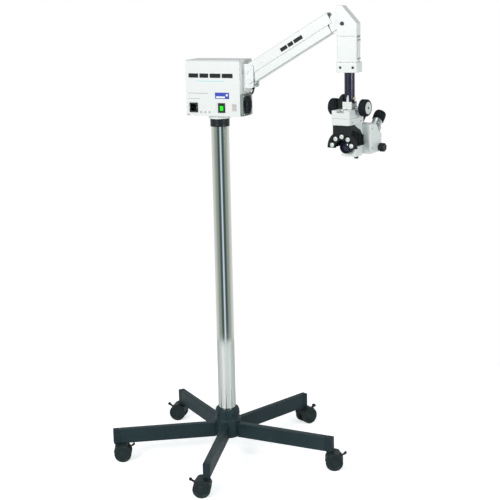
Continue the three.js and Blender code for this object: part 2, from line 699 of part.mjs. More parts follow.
/** The lamp lead, held from its grommet on the box side up to the bracket's web. */
function buildBoxLead() {
  const side = halfBoxWidth + GAP;
  const exit = { y: fanCentre.y + FAN_SIZE / 2 + 6, z: fanCentre.z + FAN_SIZE / 2 - 4 };
  const entry = { x: side + 14, y: exit.y - 6, z: BRACKET_BOTTOM - GAP };
  const leadRadius = 2.6;
  const sectionSides = 8;
  const ferrule = { radius: 4.5, length: 3 };
  const boot = { radius: 4.2, length: 5 };
  const route = new THREE.CatmullRomCurve3([
    new THREE.Vector3(side + 1, exit.y, exit.z),
    new THREE.Vector3(side + 5, exit.y, exit.z + 0.5),
    new THREE.Vector3(side + 10, exit.y - 1, exit.z + 5),
    new THREE.Vector3(entry.x, entry.y + 1, entry.z - 7),
    new THREE.Vector3(entry.x, entry.y, entry.z - 1),
  ]);
  const section = outline(Array.from({ length: sectionSides }, (_, k) => {
    const angle = (2 * k * Math.PI) / sectionSides;
    return [leadRadius * Math.cos(angle), leadRadius * Math.sin(angle)];
  }));
  const tube = solid(new THREE.ExtrudeGeometry(section, { steps: 12, extrudePath: route }));
  const grommet = rodX(ferrule.radius, side, side + ferrule.length, exit.y, exit.z, 12);
  const gland = rodZ(boot.radius, entry.z - boot.length, entry.z, entry.x, entry.y, 12);
  return join(tube, grommet, gland);
}
piece(boxGroup, "arm_lead", buildBoxLead(), blackRubber);

// ---------- Parallelogram arm ----------
const upperLinkGroup = bodyGroup(boxGroup, "upper_link", upperShoulder.x, 0, upperShoulder.y);
upperLinkGroup.rotation.y = -rad(ARM_RISE);
const lowerLinkGroup = bodyGroup(boxGroup, "lower_link", lowerShoulder.x, 0, lowerShoulder.y);
lowerLinkGroup.rotation.y = -rad(ARM_RISE);

/** A flat bar with a pin eye at each end. */
function buildLinkBar(halfHeight) {
  const half = LINK_THICKNESS / 2;
  const bar = block(0, ARM_LENGTH, -half, half, -halfHeight, halfHeight);
  const eyes = [0, ARM_LENGTH].map((x) => rodY(LINK_EYE, -half, half, x, 0, 20));
  const holes = [0, ARM_LENGTH].map((x) => rodY(PIN_RADIUS + RUNNING, -half - CUT, half + CUT, x, 0, 16));
  return cut(join(bar, ...eyes), ...holes);
}
const UPPER_BAR_HALF = 7;
piece(upperLinkGroup, "upper_link_bar", buildLinkBar(UPPER_BAR_HALF), steel);

/** The arm's outer cover, open at both ends and below, on two ribs over the upper bar. */
function buildUpperCover() {
  const ribHalf = 5;
  const outer = UPPER_COVER_WIDTH / 2;
  const inner = outer - COVER_WALL;
  const end = ARM_LENGTH - UPPER_COVER_SETBACK;
  const section = new THREE.Shape();
  const round = 4;
  section.moveTo(outer, -UPPER_COVER_SKIRT);
  section.lineTo(outer, UPPER_COVER_TOP - round);
  section.absarc(outer - round, UPPER_COVER_TOP - round, round, 0, Math.PI / 2);
  section.lineTo(round - outer, UPPER_COVER_TOP);
  section.absarc(round - outer, UPPER_COVER_TOP - round, round, Math.PI / 2, Math.PI);
  section.lineTo(-outer, -UPPER_COVER_SKIRT);
  const shell = extrudeX(section, COVER_START, end, 3);
  const hollow = block(
    COVER_START - CUT, end + CUT, -inner, inner, -UPPER_COVER_SKIRT - 1, UPPER_COVER_TOP - COVER_WALL,
  );
  const ribs = [0.2, 0.8].map((share) => {
    const at = COVER_START + share * (end - COVER_START);
    return block(
      at - ribHalf, at + ribHalf, -LINK_THICKNESS / 2, LINK_THICKNESS / 2,
      UPPER_BAR_HALF + GAP, UPPER_COVER_TOP - COVER_WALL + 0.5,
    );
  });
  return join(cut(shell, hollow), ...ribs);
}
piece(upperLinkGroup, "upper_arm_cover", buildUpperCover(), whiteEnamel);

/** The counterbalance spring's can and pull rod, beside the upper bar. */
function buildBalanceSpring() {
  const start = COVER_START + 14;
  const can = ARM_LENGTH * 0.45; // length of the can
  const rod = ARM_LENGTH - UPPER_COVER_SETBACK - 20; // where the pull rod ends
  return turnedX([
    [0, start],
    [SPRING_RADIUS, start],
    [SPRING_RADIUS, start + can],
    [SPRING_RADIUS / 2, start + can],
    [SPRING_RADIUS / 2, rod],
    [0, rod],
  ], 14).translate([0, -LINK_THICKNESS / 2 - GAP - SPRING_RADIUS, 0]);
}
piece(upperLinkGroup, "balance_spring", buildBalanceSpring(), steel);

/** The lower link: a bar with its own channel-shaped cover, nesting in the upper one. */
function buildLowerLink() {
  const sideClearance = 0.6; // from the upper cover
  const outer = UPPER_COVER_WIDTH / 2 - COVER_WALL - sideClearance;
  const inner = outer - COVER_WALL;
  const end = ARM_LENGTH - LOWER_COVER_SETBACK;
  const barHalf = LOWER_COVER_SKIRT - COVER_WALL / 2;
  const shell = block(COVER_START, end, -outer, outer, -LOWER_COVER_SKIRT, LOWER_COVER_TOP);
  const hollow = block(
    COVER_START - CUT, end + CUT, -inner, inner, COVER_WALL - LOWER_COVER_SKIRT, LOWER_COVER_TOP + 1,
  );
  return join(cut(shell, hollow), buildLinkBar(barHalf));
}
piece(lowerLinkGroup, "lower_link_channel", buildLowerLink(), whiteEnamel);

// ---------- Elbow, kept level by the parallelogram ----------
const elbowGroup = bodyGroup(upperLinkGroup, "elbow", ARM_LENGTH, 0, 0);
elbowGroup.rotation.y = rad(ARM_RISE);
const upperElbow = new THREE.Vector2(0, 0);
const lowerElbow = linkSpread.clone().negate();
const elbowLeft = lowerElbow.x - ELBOW_LEFT;
const elbowRight = elbowLeft + ELBOW_WIDTH;
const elbowBottom = lowerElbow.y - ELBOW_BELOW;
const elbowTop = elbowBottom + ELBOW_HEIGHT;
const elbowInner = ELBOW_THICKNESS / 2 - ELBOW_WALL;

/** The fork that carries both pins: two cheeks and a web, rounded to clear the arm's end. */
function buildElbowFork() {
  const outer = elbowInner - GAP;
  const inner = outer - CHEEK_THICKNESS;
  const right = elbowRight - ELBOW_WALL - 14;
  const left = elbowLeft - 22;
  const top = elbowTop - ELBOW_WALL - 4;
  const bottom = elbowBottom + 8;
  const webThickness = 7;
  const chin = 8; // below the upper pin, where the cheeks keep their full length
  const slopeGap = 4; // under the cover's slope
  const slopeOver = 8; // how far the slope's cutter stands over the cover
  const slab = block(left, right, -outer, outer, bottom, top);
  const slot = block(left - CUT, right - webThickness, -inner, inner, bottom - CUT, top + CUT);
  const upperSwing = join(
    rodY(UPPER_COVER_SETBACK - 1, -outer - CUT, outer + CUT, upperElbow.x, upperElbow.y, 40),
    block(upperElbow.x, right + CUT, -outer - CUT, outer + CUT, bottom - CUT, top + CUT),
    block(left - CUT, right + CUT, -outer - CUT, outer + CUT, bottom - CUT, upperElbow.y - chin),
  );
  const lowerSwing = join(
    rodY(LOWER_COVER_SETBACK - 1, -outer - CUT, outer + CUT, lowerElbow.x, lowerElbow.y, 40),
    block(lowerElbow.x, right + CUT, -outer - CUT, outer + CUT, bottom - CUT, top + CUT),
  );
  const slope = outline([
    [elbowLeft + ELBOW_FLAT - slopeGap, elbowTop - slopeGap],
    [elbowRight - slopeGap, elbowTop - ELBOW_SLOPE - slopeGap],
    [elbowRight + slopeOver, elbowTop + slopeOver],
    [elbowLeft + ELBOW_FLAT - slopeGap, elbowTop + slopeOver],
  ]);
  const holes = [upperElbow, lowerElbow].map(({ x, y: z }) =>
    rodY(PIN_RADIUS + GAP, -outer - CUT, outer + CUT, x, z, 20));
  const fork = cut(slab, slot).intersect(upperSwing).intersect(lowerSwing);
  return cut(fork, extrudeY(slope, -outer - CUT, outer + CUT), ...holes);
}
piece(elbowGroup, "elbow_fork", buildElbowFork(), whiteEnamel);

piece(
  elbowGroup, "elbow_pins",
  buildPinPair(elbowInner - 2 * GAP, -ELBOW_THICKNESS / 2 - GAP, lowerElbow, upperElbow), steel,
);

/** The five-sided cap over the elbow, open to the arm and downwards. */
function elbowOutline(inset, openBy) {
  const flat = elbowLeft + ELBOW_FLAT;
  const slopeFoot = elbowTop - ELBOW_SLOPE;
  const turn = inset * 0.45; // how far a corner of the slope moves when the wall is drawn in
  return outline([
    [elbowLeft - openBy, elbowBottom - openBy],
    [elbowRight - inset, elbowBottom - openBy],
    [elbowRight - inset, slopeFoot - turn],
    [flat - turn, elbowTop - inset],
    [elbowLeft - openBy, elbowTop - inset],
  ]);
}
function buildElbowCover() {
  const half = ELBOW_THICKNESS / 2;
  const shell = extrudeY(elbowOutline(0, 0), -half, half);
  const hollow = extrudeY(elbowOutline(ELBOW_WALL, 1), -elbowInner, elbowInner);
  const hole = rodY(PIN_RADIUS + GAP, -half - 1, 0, lowerElbow.x, lowerElbow.y, 20);
  return cut(shell, hollow, hole);
}
piece(elbowGroup, "elbow_cover", buildElbowCover(), whiteEnamel);

const dropTop = elbowBottom - GAP;
const dropBottom = dropTop - DROP_HEIGHT;
/** The square sleeve under the elbow, open downwards. */
function buildDropHousing() {
  const half = ELBOW_THICKNESS / 2;
  const tube = extrudeZ(roundedRect(elbowLeft, elbowRight, -half, half, 3), dropBottom, dropTop, 2);
  const roof = 3;
  const wireHole = 6;
  const inside = block(
    elbowLeft + ELBOW_WALL, elbowRight - ELBOW_WALL, -elbowInner, elbowInner,
    dropBottom - CUT, dropTop - roof,
  );
  const wires = rodZ(
    wireHole, dropTop - roof - CUT, dropTop + CUT, elbowLeft + POST_INSET, 0, 16,
  );
  return cut(tube, inside, wires);
}
piece(elbowGroup, "drop_housing", buildDropHousing(), whiteEnamel);

const postX = elbowLeft + POST_INSET;
const clampTop = dropBottom - GAP;
const clampBottom = clampTop - CLAMP_HEIGHT;
/** The block the post turns in. */
function buildClampBlock() {
  const half = CLAMP_DEPTH / 2;
  const body = extrudeZ(
    roundedRect(elbowLeft, elbowLeft + CLAMP_WIDTH, -half, half, 3), clampBottom, clampTop, 2,
  );
  return cut(body, rodZ(POST_RADIUS + RUNNING, clampBottom - CUT, clampTop + CUT, postX, 0, 32));
}
piece(elbowGroup, "clamp_block", buildClampBlock(), whiteEnamel);

// ---------- Post, turning in the clamp ----------
const tiltZ = clampBottom - POST_EXPOSED;
const postGroup = bodyGroup(elbowGroup, "post", postX, 0, tiltZ);
postGroup.rotation.z = rad(HEAD_HEADING);

/** A round post whose forked foot is rounded about the tilt pin. */
function buildPost() {
  const topOver = 12; // of the post above its clamp
  const footClearance = 0.5;
  const top = POST_EXPOSED + CLAMP_HEIGHT + topOver;
  const shaft = rodZ(POST_RADIUS, 0, top, 0, 0, 32);
  const foot = rodZ(POST_RADIUS, -POST_RADIUS, 1, 0, 0, 32)
    .intersect(rodX(POST_RADIUS - footClearance, -POST_RADIUS, POST_RADIUS, 0, 0, 32));
  const slotHalf = TONGUE_THICKNESS / 2 + GAP;
  const slotTop = TONGUE_RADIUS + 1.5;
  const slot = block(-slotHalf, slotHalf, -POST_RADIUS - CUT, POST_RADIUS + CUT, -POST_RADIUS - 1, slotTop);
  const pin = rodX(TILT_PIN_RADIUS + RUNNING, -POST_RADIUS - CUT, POST_RADIUS + CUT, 0, 0, 16);
  return cut(join(shaft, foot), slot, pin);
}
piece(postGroup, "post_shaft", buildPost(), blackPlastic);

// ---------- Neck: tilts on the post, carries the focus axle and the head's slide ----------
const neckGroup = bodyGroup(postGroup, "neck", 0, 0, 0);
const pitchRadius = (PINION_TEETH * TOOTH_PITCH) / (2 * Math.PI);
const coverTop = -AXLE_DROP - 4.5; // top of the head cover, from the tilt pin
const railTop = coverTop + GAP;
const RAIL_HEIGHT = 6; // how deep the rails reach into the head cover
const railBottom = coverTop - RAIL_HEIGHT;
const RAIL_FOOT = 12; // half width at the rails' foot
const RAIL_NECK = 9; // half width at their top
const rackHalf = 3.6; // half width of the rack and its pinion

/** The neck: its tongue and pin in the post's fork, the focus axle's bearing and the two rails. */
function buildNeck() {
  const bodyTop = -8; // from the tilt pin
  const footClearance = 0.6; // under the post's rounded foot
  const halfWidth = NECK_WIDTH / 2;
  const halfDepth = NECK_DEPTH / 2;
  const body = block(-halfWidth, halfWidth, -halfDepth, halfDepth, railTop, bodyTop);
  const swing = rodX(POST_RADIUS + footClearance, -halfWidth - CUT, halfWidth + CUT, 0, 0, 36);
  const tongueHalf = TONGUE_THICKNESS / 2;
  const tongue = join(
    rodX(TONGUE_RADIUS, -tongueHalf, tongueHalf, 0, 0, 28),
    block(-tongueHalf, tongueHalf, -TONGUE_RADIUS, TONGUE_RADIUS, -POST_RADIUS - 3, 0),
  );
  const pin = rodX(TILT_PIN_RADIUS, -POST_RADIUS - CUT, POST_RADIUS + CUT, 0, 0, 16);
  const rails = extrudeY(outline([
    [-RAIL_FOOT, railBottom],
    [RAIL_FOOT, railBottom],
    [RAIL_NECK, railTop + 0.1],
    [-RAIL_NECK, railTop + 0.1],
  ]), -RAIL_LENGTH / 2, RAIL_LENGTH / 2);
  const channel = block(
    -rackHalf - CUT, rackHalf + CUT, -RAIL_LENGTH, RAIL_LENGTH, railBottom - 1, railTop - 1,
  );
  const well = block(
    -rackHalf - CUT, rackHalf + CUT, -pitchRadius - 3, pitchRadius + 3, railBottom - 1,
    -AXLE_DROP + pitchRadius + 2.5,
  );
  const split = cut(rails, channel, block(
    -rackHalf - CUT, rackHalf + CUT, -RAIL_LENGTH, RAIL_LENGTH, railTop - 2, railTop + 1,
  ));
  const axle = rodX(FOCUS_AXLE_RADIUS + RUNNING, -halfWidth - CUT, halfWidth + CUT, 0, -AXLE_DROP, 16);
  return cut(join(cut(body, swing), tongue, pin, split), well, axle);
}
piece(neckGroup, "neck_bracket", buildNeck(), whiteEnamel);

/** The black bearing arm on the left, between the neck and its knob. */
function buildFocusBearing() {
  const start = -NECK_WIDTH / 2 - 1;
  const end = -KNOB_SPREAD + 1;
  const low = railTop + GAP;
  const halfDepth = 9;
  const rise = { neck: 3, middle: -3, knob: -7 }; // the arm's top edge, from the tilt pin
  const shape = outline([
    [end, low],
    [start, low],
    [start, rise.neck],
    [(start + end) / 2, rise.middle],
    [end, rise.knob],
  ]);
  const axle = rodX(FOCUS_AXLE_RADIUS + RUNNING, end - CUT, start + CUT, 0, -AXLE_DROP, 16);
  return cut(extrudeY(shape, -halfDepth, halfDepth), axle);
}
piece(neckGroup, "focus_bearing", buildFocusBearing(), blackPlastic);

const focusGroup = bodyGroup(neckGroup, "focus_knobs", 0, 0, -AXLE_DROP);

/** The pinion's tooth outline, with a tooth pointing straight down at rest. */
function pinionOutline() {
  const points = [];
  const step = (2 * Math.PI) / PINION_TEETH;
  const backlash = 0.2;
  const rootShare = 0.3; // half a tooth's width at its root and at its tip, in tooth pitches
  const tipShare = 0.11;
  const root = pitchRadius - TOOTH_HEIGHT / 2 - backlash;
  const tip = pitchRadius + TOOTH_HEIGHT / 2 - backlash;
  for (let k = 0; k < PINION_TEETH; k++) {
    const middle = -Math.PI / 2 + k * step;
    const corners = [[root, -rootShare], [tip, -tipShare], [tip, tipShare], [root, rootShare]];
    for (const [radius, offset] of corners) {
      const angle = middle + offset * step;
      points.push([radius * Math.cos(angle), radius * Math.sin(angle)]);
    }
  }
  return outline(points);
}

/** Both focus knobs on one axle with the pinion between them. */
function buildFocusKnobs() {
  const pinion = extrudeX(pinionOutline(), -rackHalf, rackHalf);
  const reach = KNOB_SPREAD + KNOB_LENGTH;
  const chamfer = 2.5;
  const knob = turnedX([
    [0, KNOB_SPREAD],
    [KNOB_RADIUS - chamfer, KNOB_SPREAD],
    [KNOB_RADIUS, KNOB_SPREAD + chamfer],
    [KNOB_RADIUS, reach - chamfer],
    [KNOB_RADIUS - chamfer, reach],
    [0, reach],
  ], 26);
  const axle = rodX(FOCUS_AXLE_RADIUS, -reach + 2, reach - 2, 0, 0, 16);
  return join(pinion, axle, knob, knob.rotate([0, 0, 180]));
}
piece(focusGroup, "focus_knob_pair", buildFocusKnobs(), blackPlastic);

// ---------- Optical head, sliding on the neck ----------
const headGroup = bodyGroup(neckGroup, "optical_head", 0, 0, 0);
const coverBottom = coverTop - COVER_HEIGHT;
const opticalZ = -AXLE_DROP - OPTICAL_DROP;

/** Rack teeth along Y that mesh under the pinion, with a tooth gap under its lowest tooth. */
function rackOutline() {
  const base = railBottom - GAP;
  const pitchLine = -AXLE_DROP - pitchRadius;
  const root = pitchLine - TOOTH_HEIGHT / 2 - 0.2;
  const tip = pitchLine + TOOTH_HEIGHT / 2 - 0.4;
  const points = [];
  const count = 16;
  const rootHalf = 0.24 * TOOTH_PITCH;
  const tipHalf = 0.1 * TOOTH_PITCH;
  for (let k = 0; k < count; k++) {
    const middle = (k - count / 2 + 0.5) * TOOTH_PITCH;
    points.push([middle - rootHalf, root], [middle - tipHalf, tip]);
    points.push([middle + tipHalf, tip], [middle + rootHalf, root]);
  }
  const edge = (count / 2) * TOOTH_PITCH;
  return outline([[-edge, base - 1], [edge, base - 1], [edge, root], ...points.reverse(), [-edge, root]]);
}

/** The head's hooded cover, open below, with the rails' slot and the rack in its thick top. */
function buildHeadCover() {
  const half = COVER_WIDTH / 2;
  const shell = extrudeZ(
    roundedRect(-half, half, -COVER_FRONT, COVER_BACK, 4), coverBottom, coverTop, 3,
  );
  const hollow = block(
    HEAD_WALL - half, half - HEAD_WALL, HEAD_WALL - COVER_FRONT, COVER_BACK - HEAD_WALL,
    coverBottom - 1, coverTop - COVER_SLAB,
  );
  const slot = extrudeY(outline([
    [-RAIL_FOOT - GAP, railBottom - GAP],
    [RAIL_FOOT + GAP, railBottom - GAP],
    [RAIL_NECK + GAP, coverTop + 0.1],
    [-RAIL_NECK - GAP, coverTop + 0.1],
  ]), -COVER_FRONT - CUT, COVER_BACK + CUT);
  const rack = extrudeX(rackOutline(), -rackHalf, rackHalf);
  return join(cut(shell, hollow, slot), rack);
}
piece(headGroup, "head_cover", buildHeadCover(), whiteEnamel);

const zoomTop = coverBottom - GAP;
const zoomBottom = opticalZ - ZOOM_BELOW;
/** The zoom body: the light path through it and the lock's hole in its toe. */
function buildZoomBody() {
  const half = ZOOM_WIDTH / 2;
  const body = extrudeZ(roundedRect(-half, half, -ZOOM_FRONT, ZOOM_BACK, 3), zoomBottom, zoomTop, 2);
  const toe = extrudeZ(
    roundedRect(-half, half, -TOE_FRONT, ZOOM_BACK, 3), zoomBottom - TOE_HEIGHT + 1, zoomBottom + 1, 2,
  );
  const light = rodY(BARREL_RADIUS - BARREL_WALL, -ZOOM_FRONT - CUT, ZOOM_BACK + CUT, 0, opticalZ, 28);
  const lock = rodZ(
    LOCK_SHANK_RADIUS + RUNNING, zoomBottom - TOE_HEIGHT, zoomBottom + 2, LOCK_PLACE.x, LOCK_PLACE.y, 16,
  );
  return cut(join(body, toe), light, lock);
}
piece(headGroup, "zoom_body", buildZoomBody(), silverEnamel);

const barrelBack = -ZOOM_FRONT - GAP;
const barrelFront = barrelBack - BARREL_LENGTH;
const lensSeat = BARREL_RADIUS - BARREL_WALL;
const lensBack = barrelFront + 7; // the seat's shoulder
piece(headGroup, "objective_barrel", turnedY([
  [lensSeat - 2, lensBack],
  [lensSeat, lensBack],
  [lensSeat, barrelFront],
  [BARREL_RADIUS - 1, barrelFront],
  [BARREL_RADIUS, barrelFront + 1],
  [BARREL_RADIUS, barrelBack],
  [lensSeat - 2, barrelBack],
], 24).translate([0, 0, opticalZ]), blackPlastic);

piece(headGroup, "objective_lens", turnedY([
  [0, barrelFront + 2],
  [lensSeat * 0.55, barrelFront + 2.8],
  [lensSeat - GAP, barrelFront + 4.6],
  [lensSeat - GAP, lensBack - GAP],
  [0, lensBack - GAP],
], 20).translate([0, 0, opticalZ]), clearLens);

/** Where an LED's middle stands on its arc, in the plane of the plate, from right to left. */
const ledAxisZ = opticalZ + 2;
const ledAngles = Array.from({ length: LED_COUNT }, (_, k) =>
  Math.PI / 2 + rad((k - (LED_COUNT - 1) / 2) * LED_STEP));
const ledPlaces = ledAngles.map((angle) =>
  [LED_ARC * Math.cos(angle), ledAxisZ + LED_ARC * Math.sin(angle)]);

const STRIP_HALF = 2; // half width of the strip that carries the lenses
const GROOVE_DEPTH = 3;

/** A strip along the LEDs' arc, from the first to the last, between two depths. */
function ledStrip(halfWidth, y0, y1) {
  const [first, last] = [ledAngles[0], ledAngles[LED_COUNT - 1]];
  const strip = new THREE.Shape();
  strip.absarc(0, ledAxisZ, LED_ARC + halfWidth, first, last);
  strip.absarc(0, ledAxisZ, LED_ARC - halfWidth, last, first, true);
  return extrudeY(strip, y0, y1, 12);
}

/** The LED housing: a winged plate over the objective and two side walls with cooling fins. */
function buildLedHousing() {
  const front = -LED_PLANE;
  const plateBack = front + LED_PLATE;
  const outer = COVER_WIDTH / 2;
  const inner = ZOOM_WIDTH / 2 + GAP;
  const top = coverBottom - GAP;
  const shoulder = 14; // where the plate widens, above the objective's axis
  const mouthGap = 3.2; // round the barrel
  const wingCut = 3; // where the wings end, below the axis
  const floor = 2; // of a lens pocket
  const upper = block(-outer, outer, front, plateBack, ledAxisZ + shoulder, top);
  const round = rodY(LED_WING, front, plateBack, 0, ledAxisZ, 36);
  const below = block(
    -LED_WING - CUT, LED_WING + CUT, front - CUT, plateBack + CUT,
    ledAxisZ - LED_WING - CUT, ledAxisZ - wingCut,
  );
  const mouth = rodY(BARREL_RADIUS + mouthGap, front - CUT, plateBack + CUT, 0, opticalZ, 24);
  const pockets = ledPlaces.map(([x, z]) =>
    rodY(LED_RADIUS + GAP, front - CUT, plateBack - floor, x, z, 14));
  const groove = ledStrip(STRIP_HALF + GAP, front - CUT, front + GROOVE_DEPTH);
  const plate = cut(join(upper, round), below, mouth, groove, ...pockets);
  const back = front + LED_SIDE;
  const sideOutline = outline([
    [plateBack - 1, ledAxisZ - 1],
    [back, ledAxisZ - 1],
    [back, ledAxisZ + 10],
    [back - 8, ledAxisZ + 27],
    [back - 20, ledAxisZ + 42],
    [plateBack + 13, top],
    [plateBack - 1, top],
  ]);
  const sides = [-1, 1].map((hand) => {
    const wall = hand * (inner + outer) / 2;
    const half = (outer - inner) / 2;
    return extrudeX(sideOutline, wall - half, wall + half);
  });
  const overlap = 0.5; // of a fin's root in the wall
  const fins = [-1, 1].flatMap((hand) => Array.from({ length: FIN_COUNT }, (_, k) => {
    const y = plateBack + 8 + k * FIN_PITCH;
    const middle = hand * (outer + (FIN_DEPTH - overlap) / 2);
    const half = (FIN_DEPTH + overlap) / 2;
    return block(middle - half, middle + half, y, y + FIN_THICKNESS, ledAxisZ + 2, ledAxisZ + 44 - k * 2.6);
  }));
  return join(plate, ...sides, ...fins);
}
piece(headGroup, "led_housing", buildLedHousing(), blackPlastic);

/** Five domed lenses standing on one strip that lies in the plate's groove. */
function buildLedLenses() {
  const front = -LED_PLANE;
  const seat = front + LED_PLATE - 2 - GAP;
  const domes = ledPlaces.map(([x, z]) => turnedY([
    [0, front - 2.4],
    [LED_RADIUS * 0.8, front - 1.6],
    [LED_RADIUS, front],
    [LED_RADIUS, seat],
    [0, seat],
  ], 14).translate([x, 0, z]));
  return join(ledStrip(STRIP_HALF, front + 0.6, front + GROOVE_DEPTH - GAP), ...domes);
}
piece(headGroup, "led_lenses", buildLedLenses(), clearLens);

// ---------- Binocular tube body with its eyepieces ----------
const binocularFront = ZOOM_BACK + GAP;
const binocularTop = zoomBottom + BINOCULAR_HEIGHT;
const eyeSlope = 34; // run of the inclined rear face, along Y
const eyeBase = {
  y: BINOCULAR_BACK - eyeSlope / 2,
  z: binocularTop - (eyeSlope / 2) * Math.tan(rad(90 - EYE_LIFT)),
};
const tongueHalfWidth = 6; // of the slide tongue under each eyepiece
const slotHeight = 6; // half the height of the slot it slides in
const zoomShaft = { y: BINOCULAR_BACK - 16, z: zoomBottom + 13 };

/** A direction square to the inclined face is the eyepieces' axis. */
const eyeTurn = -rad(90 - EYE_LIFT);

function binocularOutline(inset) {
  const slopeDrop = eyeSlope * Math.tan(rad(90 - EYE_LIFT));
  const heel = 16; // the cut corner under the eyepieces
  const trim = inset * 0.4; // how far a corner moves when the wall is drawn in
  return outline([
    [binocularFront, zoomBottom + inset],
    [BINOCULAR_BACK - heel - trim, zoomBottom + inset],
    [BINOCULAR_BACK - inset, zoomBottom + heel + trim],
    [BINOCULAR_BACK - inset, binocularTop - slopeDrop - trim],
    [BINOCULAR_BACK - eyeSlope - trim, binocularTop - inset],
    [binocularFront, binocularTop - inset],
  ]);
}

/** The hollow binocular body: a port to the zoom body, two slots for the eyepieces, the zoom shaft. */
function buildBinocularBody() {
  const portHalf = { width: ZOOM_WIDTH / 2 - 4, height: 15 };
  const half = BINOCULAR_WIDTH / 2;
  const shell = extrudeX(binocularOutline(0), -half, half);
  const hollow = extrudeX(binocularOutline(BINOCULAR_WALL), BINOCULAR_WALL - half, half - BINOCULAR_WALL);
  const port = block(
    -portHalf.width, portHalf.width, binocularFront - CUT, binocularFront + 2 * BINOCULAR_WALL,
    opticalZ - portHalf.height, opticalZ + portHalf.height,
  );
  const frontWall = block(
    -half + 1, half - 1, binocularFront, binocularFront + BINOCULAR_WALL,
    zoomBottom + 1, binocularTop - 1,
  );
  const slots = [-1, 1].map((hand) => {
    const halfSlot = tongueHalfWidth + EYE_TRAVEL + RUNNING;
    return block(-halfSlot, halfSlot, -slotHeight, slotHeight, -BINOCULAR_WALL - 8, 3)
      .rotate([THREE.MathUtils.radToDeg(eyeTurn), 0, 0])
      .translate([(hand * EYE_SPACING) / 2, eyeBase.y, eyeBase.z]);
  });
  const shaft = rodX(ZOOM_SHAFT_RADIUS + RUNNING, -half - CUT, half + CUT, zoomShaft.y, zoomShaft.z, 16);
  return cut(join(cut(shell, hollow), cut(frontWall, port)), ...slots, shaft);
}
piece(headGroup, "binocular_body", buildBinocularBody(), silverEnamel);

/** An eyepiece: its flange on the inclined face, its tube, and the tongue in the slot. */
function buildEyepiece() {
  const reach = GAP + EYE_FLANGE_THICKNESS + EYE_TUBE_LENGTH;
  const recess = 3;
  const turned = turnedZ([
    [0, GAP],
    [EYE_FLANGE, GAP],
    [EYE_FLANGE, GAP + EYE_FLANGE_THICKNESS],
    [EYE_TUBE_RADIUS, GAP + EYE_FLANGE_THICKNESS],
    [EYE_TUBE_RADIUS, reach],
    [EYECUP_BORE - 1, reach],
    [EYECUP_BORE - 1, reach - recess],
    [0, reach - recess],
  ], 22);
  const half = slotHeight - RUNNING;
  return join(turned, block(-tongueHalfWidth, tongueHalfWidth, -half, half, -BINOCULAR_WALL - 2, GAP + 1));
}

/** A rubber cup turning on the end of the eyepiece tube. */
function buildEyecup() {
  const start = GAP + EYE_FLANGE_THICKNESS + EYE_TUBE_SHOWN;
  const end = start + EYECUP_LENGTH;
  const tubeEnd = GAP + EYE_FLANGE_THICKNESS + EYE_TUBE_LENGTH;
  const inner = EYE_TUBE_RADIUS + RUNNING;
  return turnedZ([
    [inner, start],
    [EYECUP_RADIUS, start],
    [EYECUP_RADIUS, end - 6],
    [EYECUP_RADIUS - 1.5, end],
    [EYECUP_BORE + 1.5, end],
    [EYECUP_BORE, tubeEnd + GAP + 3],
    [EYECUP_BORE, tubeEnd + GAP],
    [inner, tubeEnd + GAP],
  ], 22);
}
for (const [side, hand] of [["left", -1], ["right", 1]]) {
  const eye = bodyGroup(headGroup, `eye_${side}`, (hand * EYE_SPACING) / 2, eyeBase.y, eyeBase.z);
  eye.rotation.x = eyeTurn;
  piece(eye, `eyepiece_${side}`, buildEyepiece(), steel);
  piece(eye, `eyecup_${side}`, buildEyecup(), blackRubber);
}

// ---------- Small controls ----------
const zoomGroup = bodyGroup(headGroup, "zoom_control", 0, zoomShaft.y, zoomShaft.z);

/** The two zoom knobs on their shaft. */
function buildZoomKnobs() {
  const edge = 1.5;
  const start = BINOCULAR_WIDTH / 2 + ZOOM_KNOB_OFFSET;
  const end = start + ZOOM_KNOB_LENGTH;
  const knob = turnedX([
    [0, start],
    [ZOOM_KNOB_RADIUS, start],
    [ZOOM_KNOB_RADIUS, end - edge],
    [ZOOM_KNOB_RADIUS - edge, end],
    [0, end],
  ], 20);
  const shaft = rodX(ZOOM_SHAFT_RADIUS, -start - CUT, start + CUT, 0, 0, 16);
  return join(shaft, knob, knob.rotate([0, 0, 180]));
}
piece(zoomGroup, "zoom_knob_pair", buildZoomKnobs(), blackPlastic);

const lockGroup = bodyGroup(headGroup, "lock", LOCK_PLACE.x, LOCK_PLACE.y, zoomBottom - TOE_HEIGHT + 1);
piece(lockGroup, "lock_knob", turnedZ([
  [0, -GAP - LOCK_KNOB_LENGTH],
  [LOCK_KNOB_RADIUS - 1, -GAP - LOCK_KNOB_LENGTH],
  [LOCK_KNOB_RADIUS, 1 - GAP - LOCK_KNOB_LENGTH],
  [LOCK_KNOB_RADIUS, -GAP],
  [LOCK_SHANK_RADIUS, -GAP],
  [LOCK_SHANK_RADIUS, TOE_HEIGHT - 1],
  [0, TOE_HEIGHT - 1],
], 20), blackPlastic);

// The frame's origin: on the floor, under the middle of the whole stand.
stand.updateMatrixWorld(true);
const extent = new THREE.Box3().setFromObject(stand, true);
const middle = extent.getCenter(new THREE.Vector3());
stand.position.set(-middle.x, -middle.y, -extent.min.z);

export default stand;
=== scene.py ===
"""Looks for a colposcope on a floor stand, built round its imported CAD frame.

The stand is dressed sub-assembly by sub-assembly: castered base, column, power box, swing arm, elbow, post,
neck and optical head. Everything is in metres, in the frame of the CAD model. Each piece's geometry is worked
out from the CAD nodes' own boxes and from the joints, so it stays true to the model's sizes.
"""

import json
import logging
import math
from collections.abc import Sequence
from dataclasses import dataclass, field
from enum import Enum

import bmesh
import bpy
from mathutils import Matrix, Vector


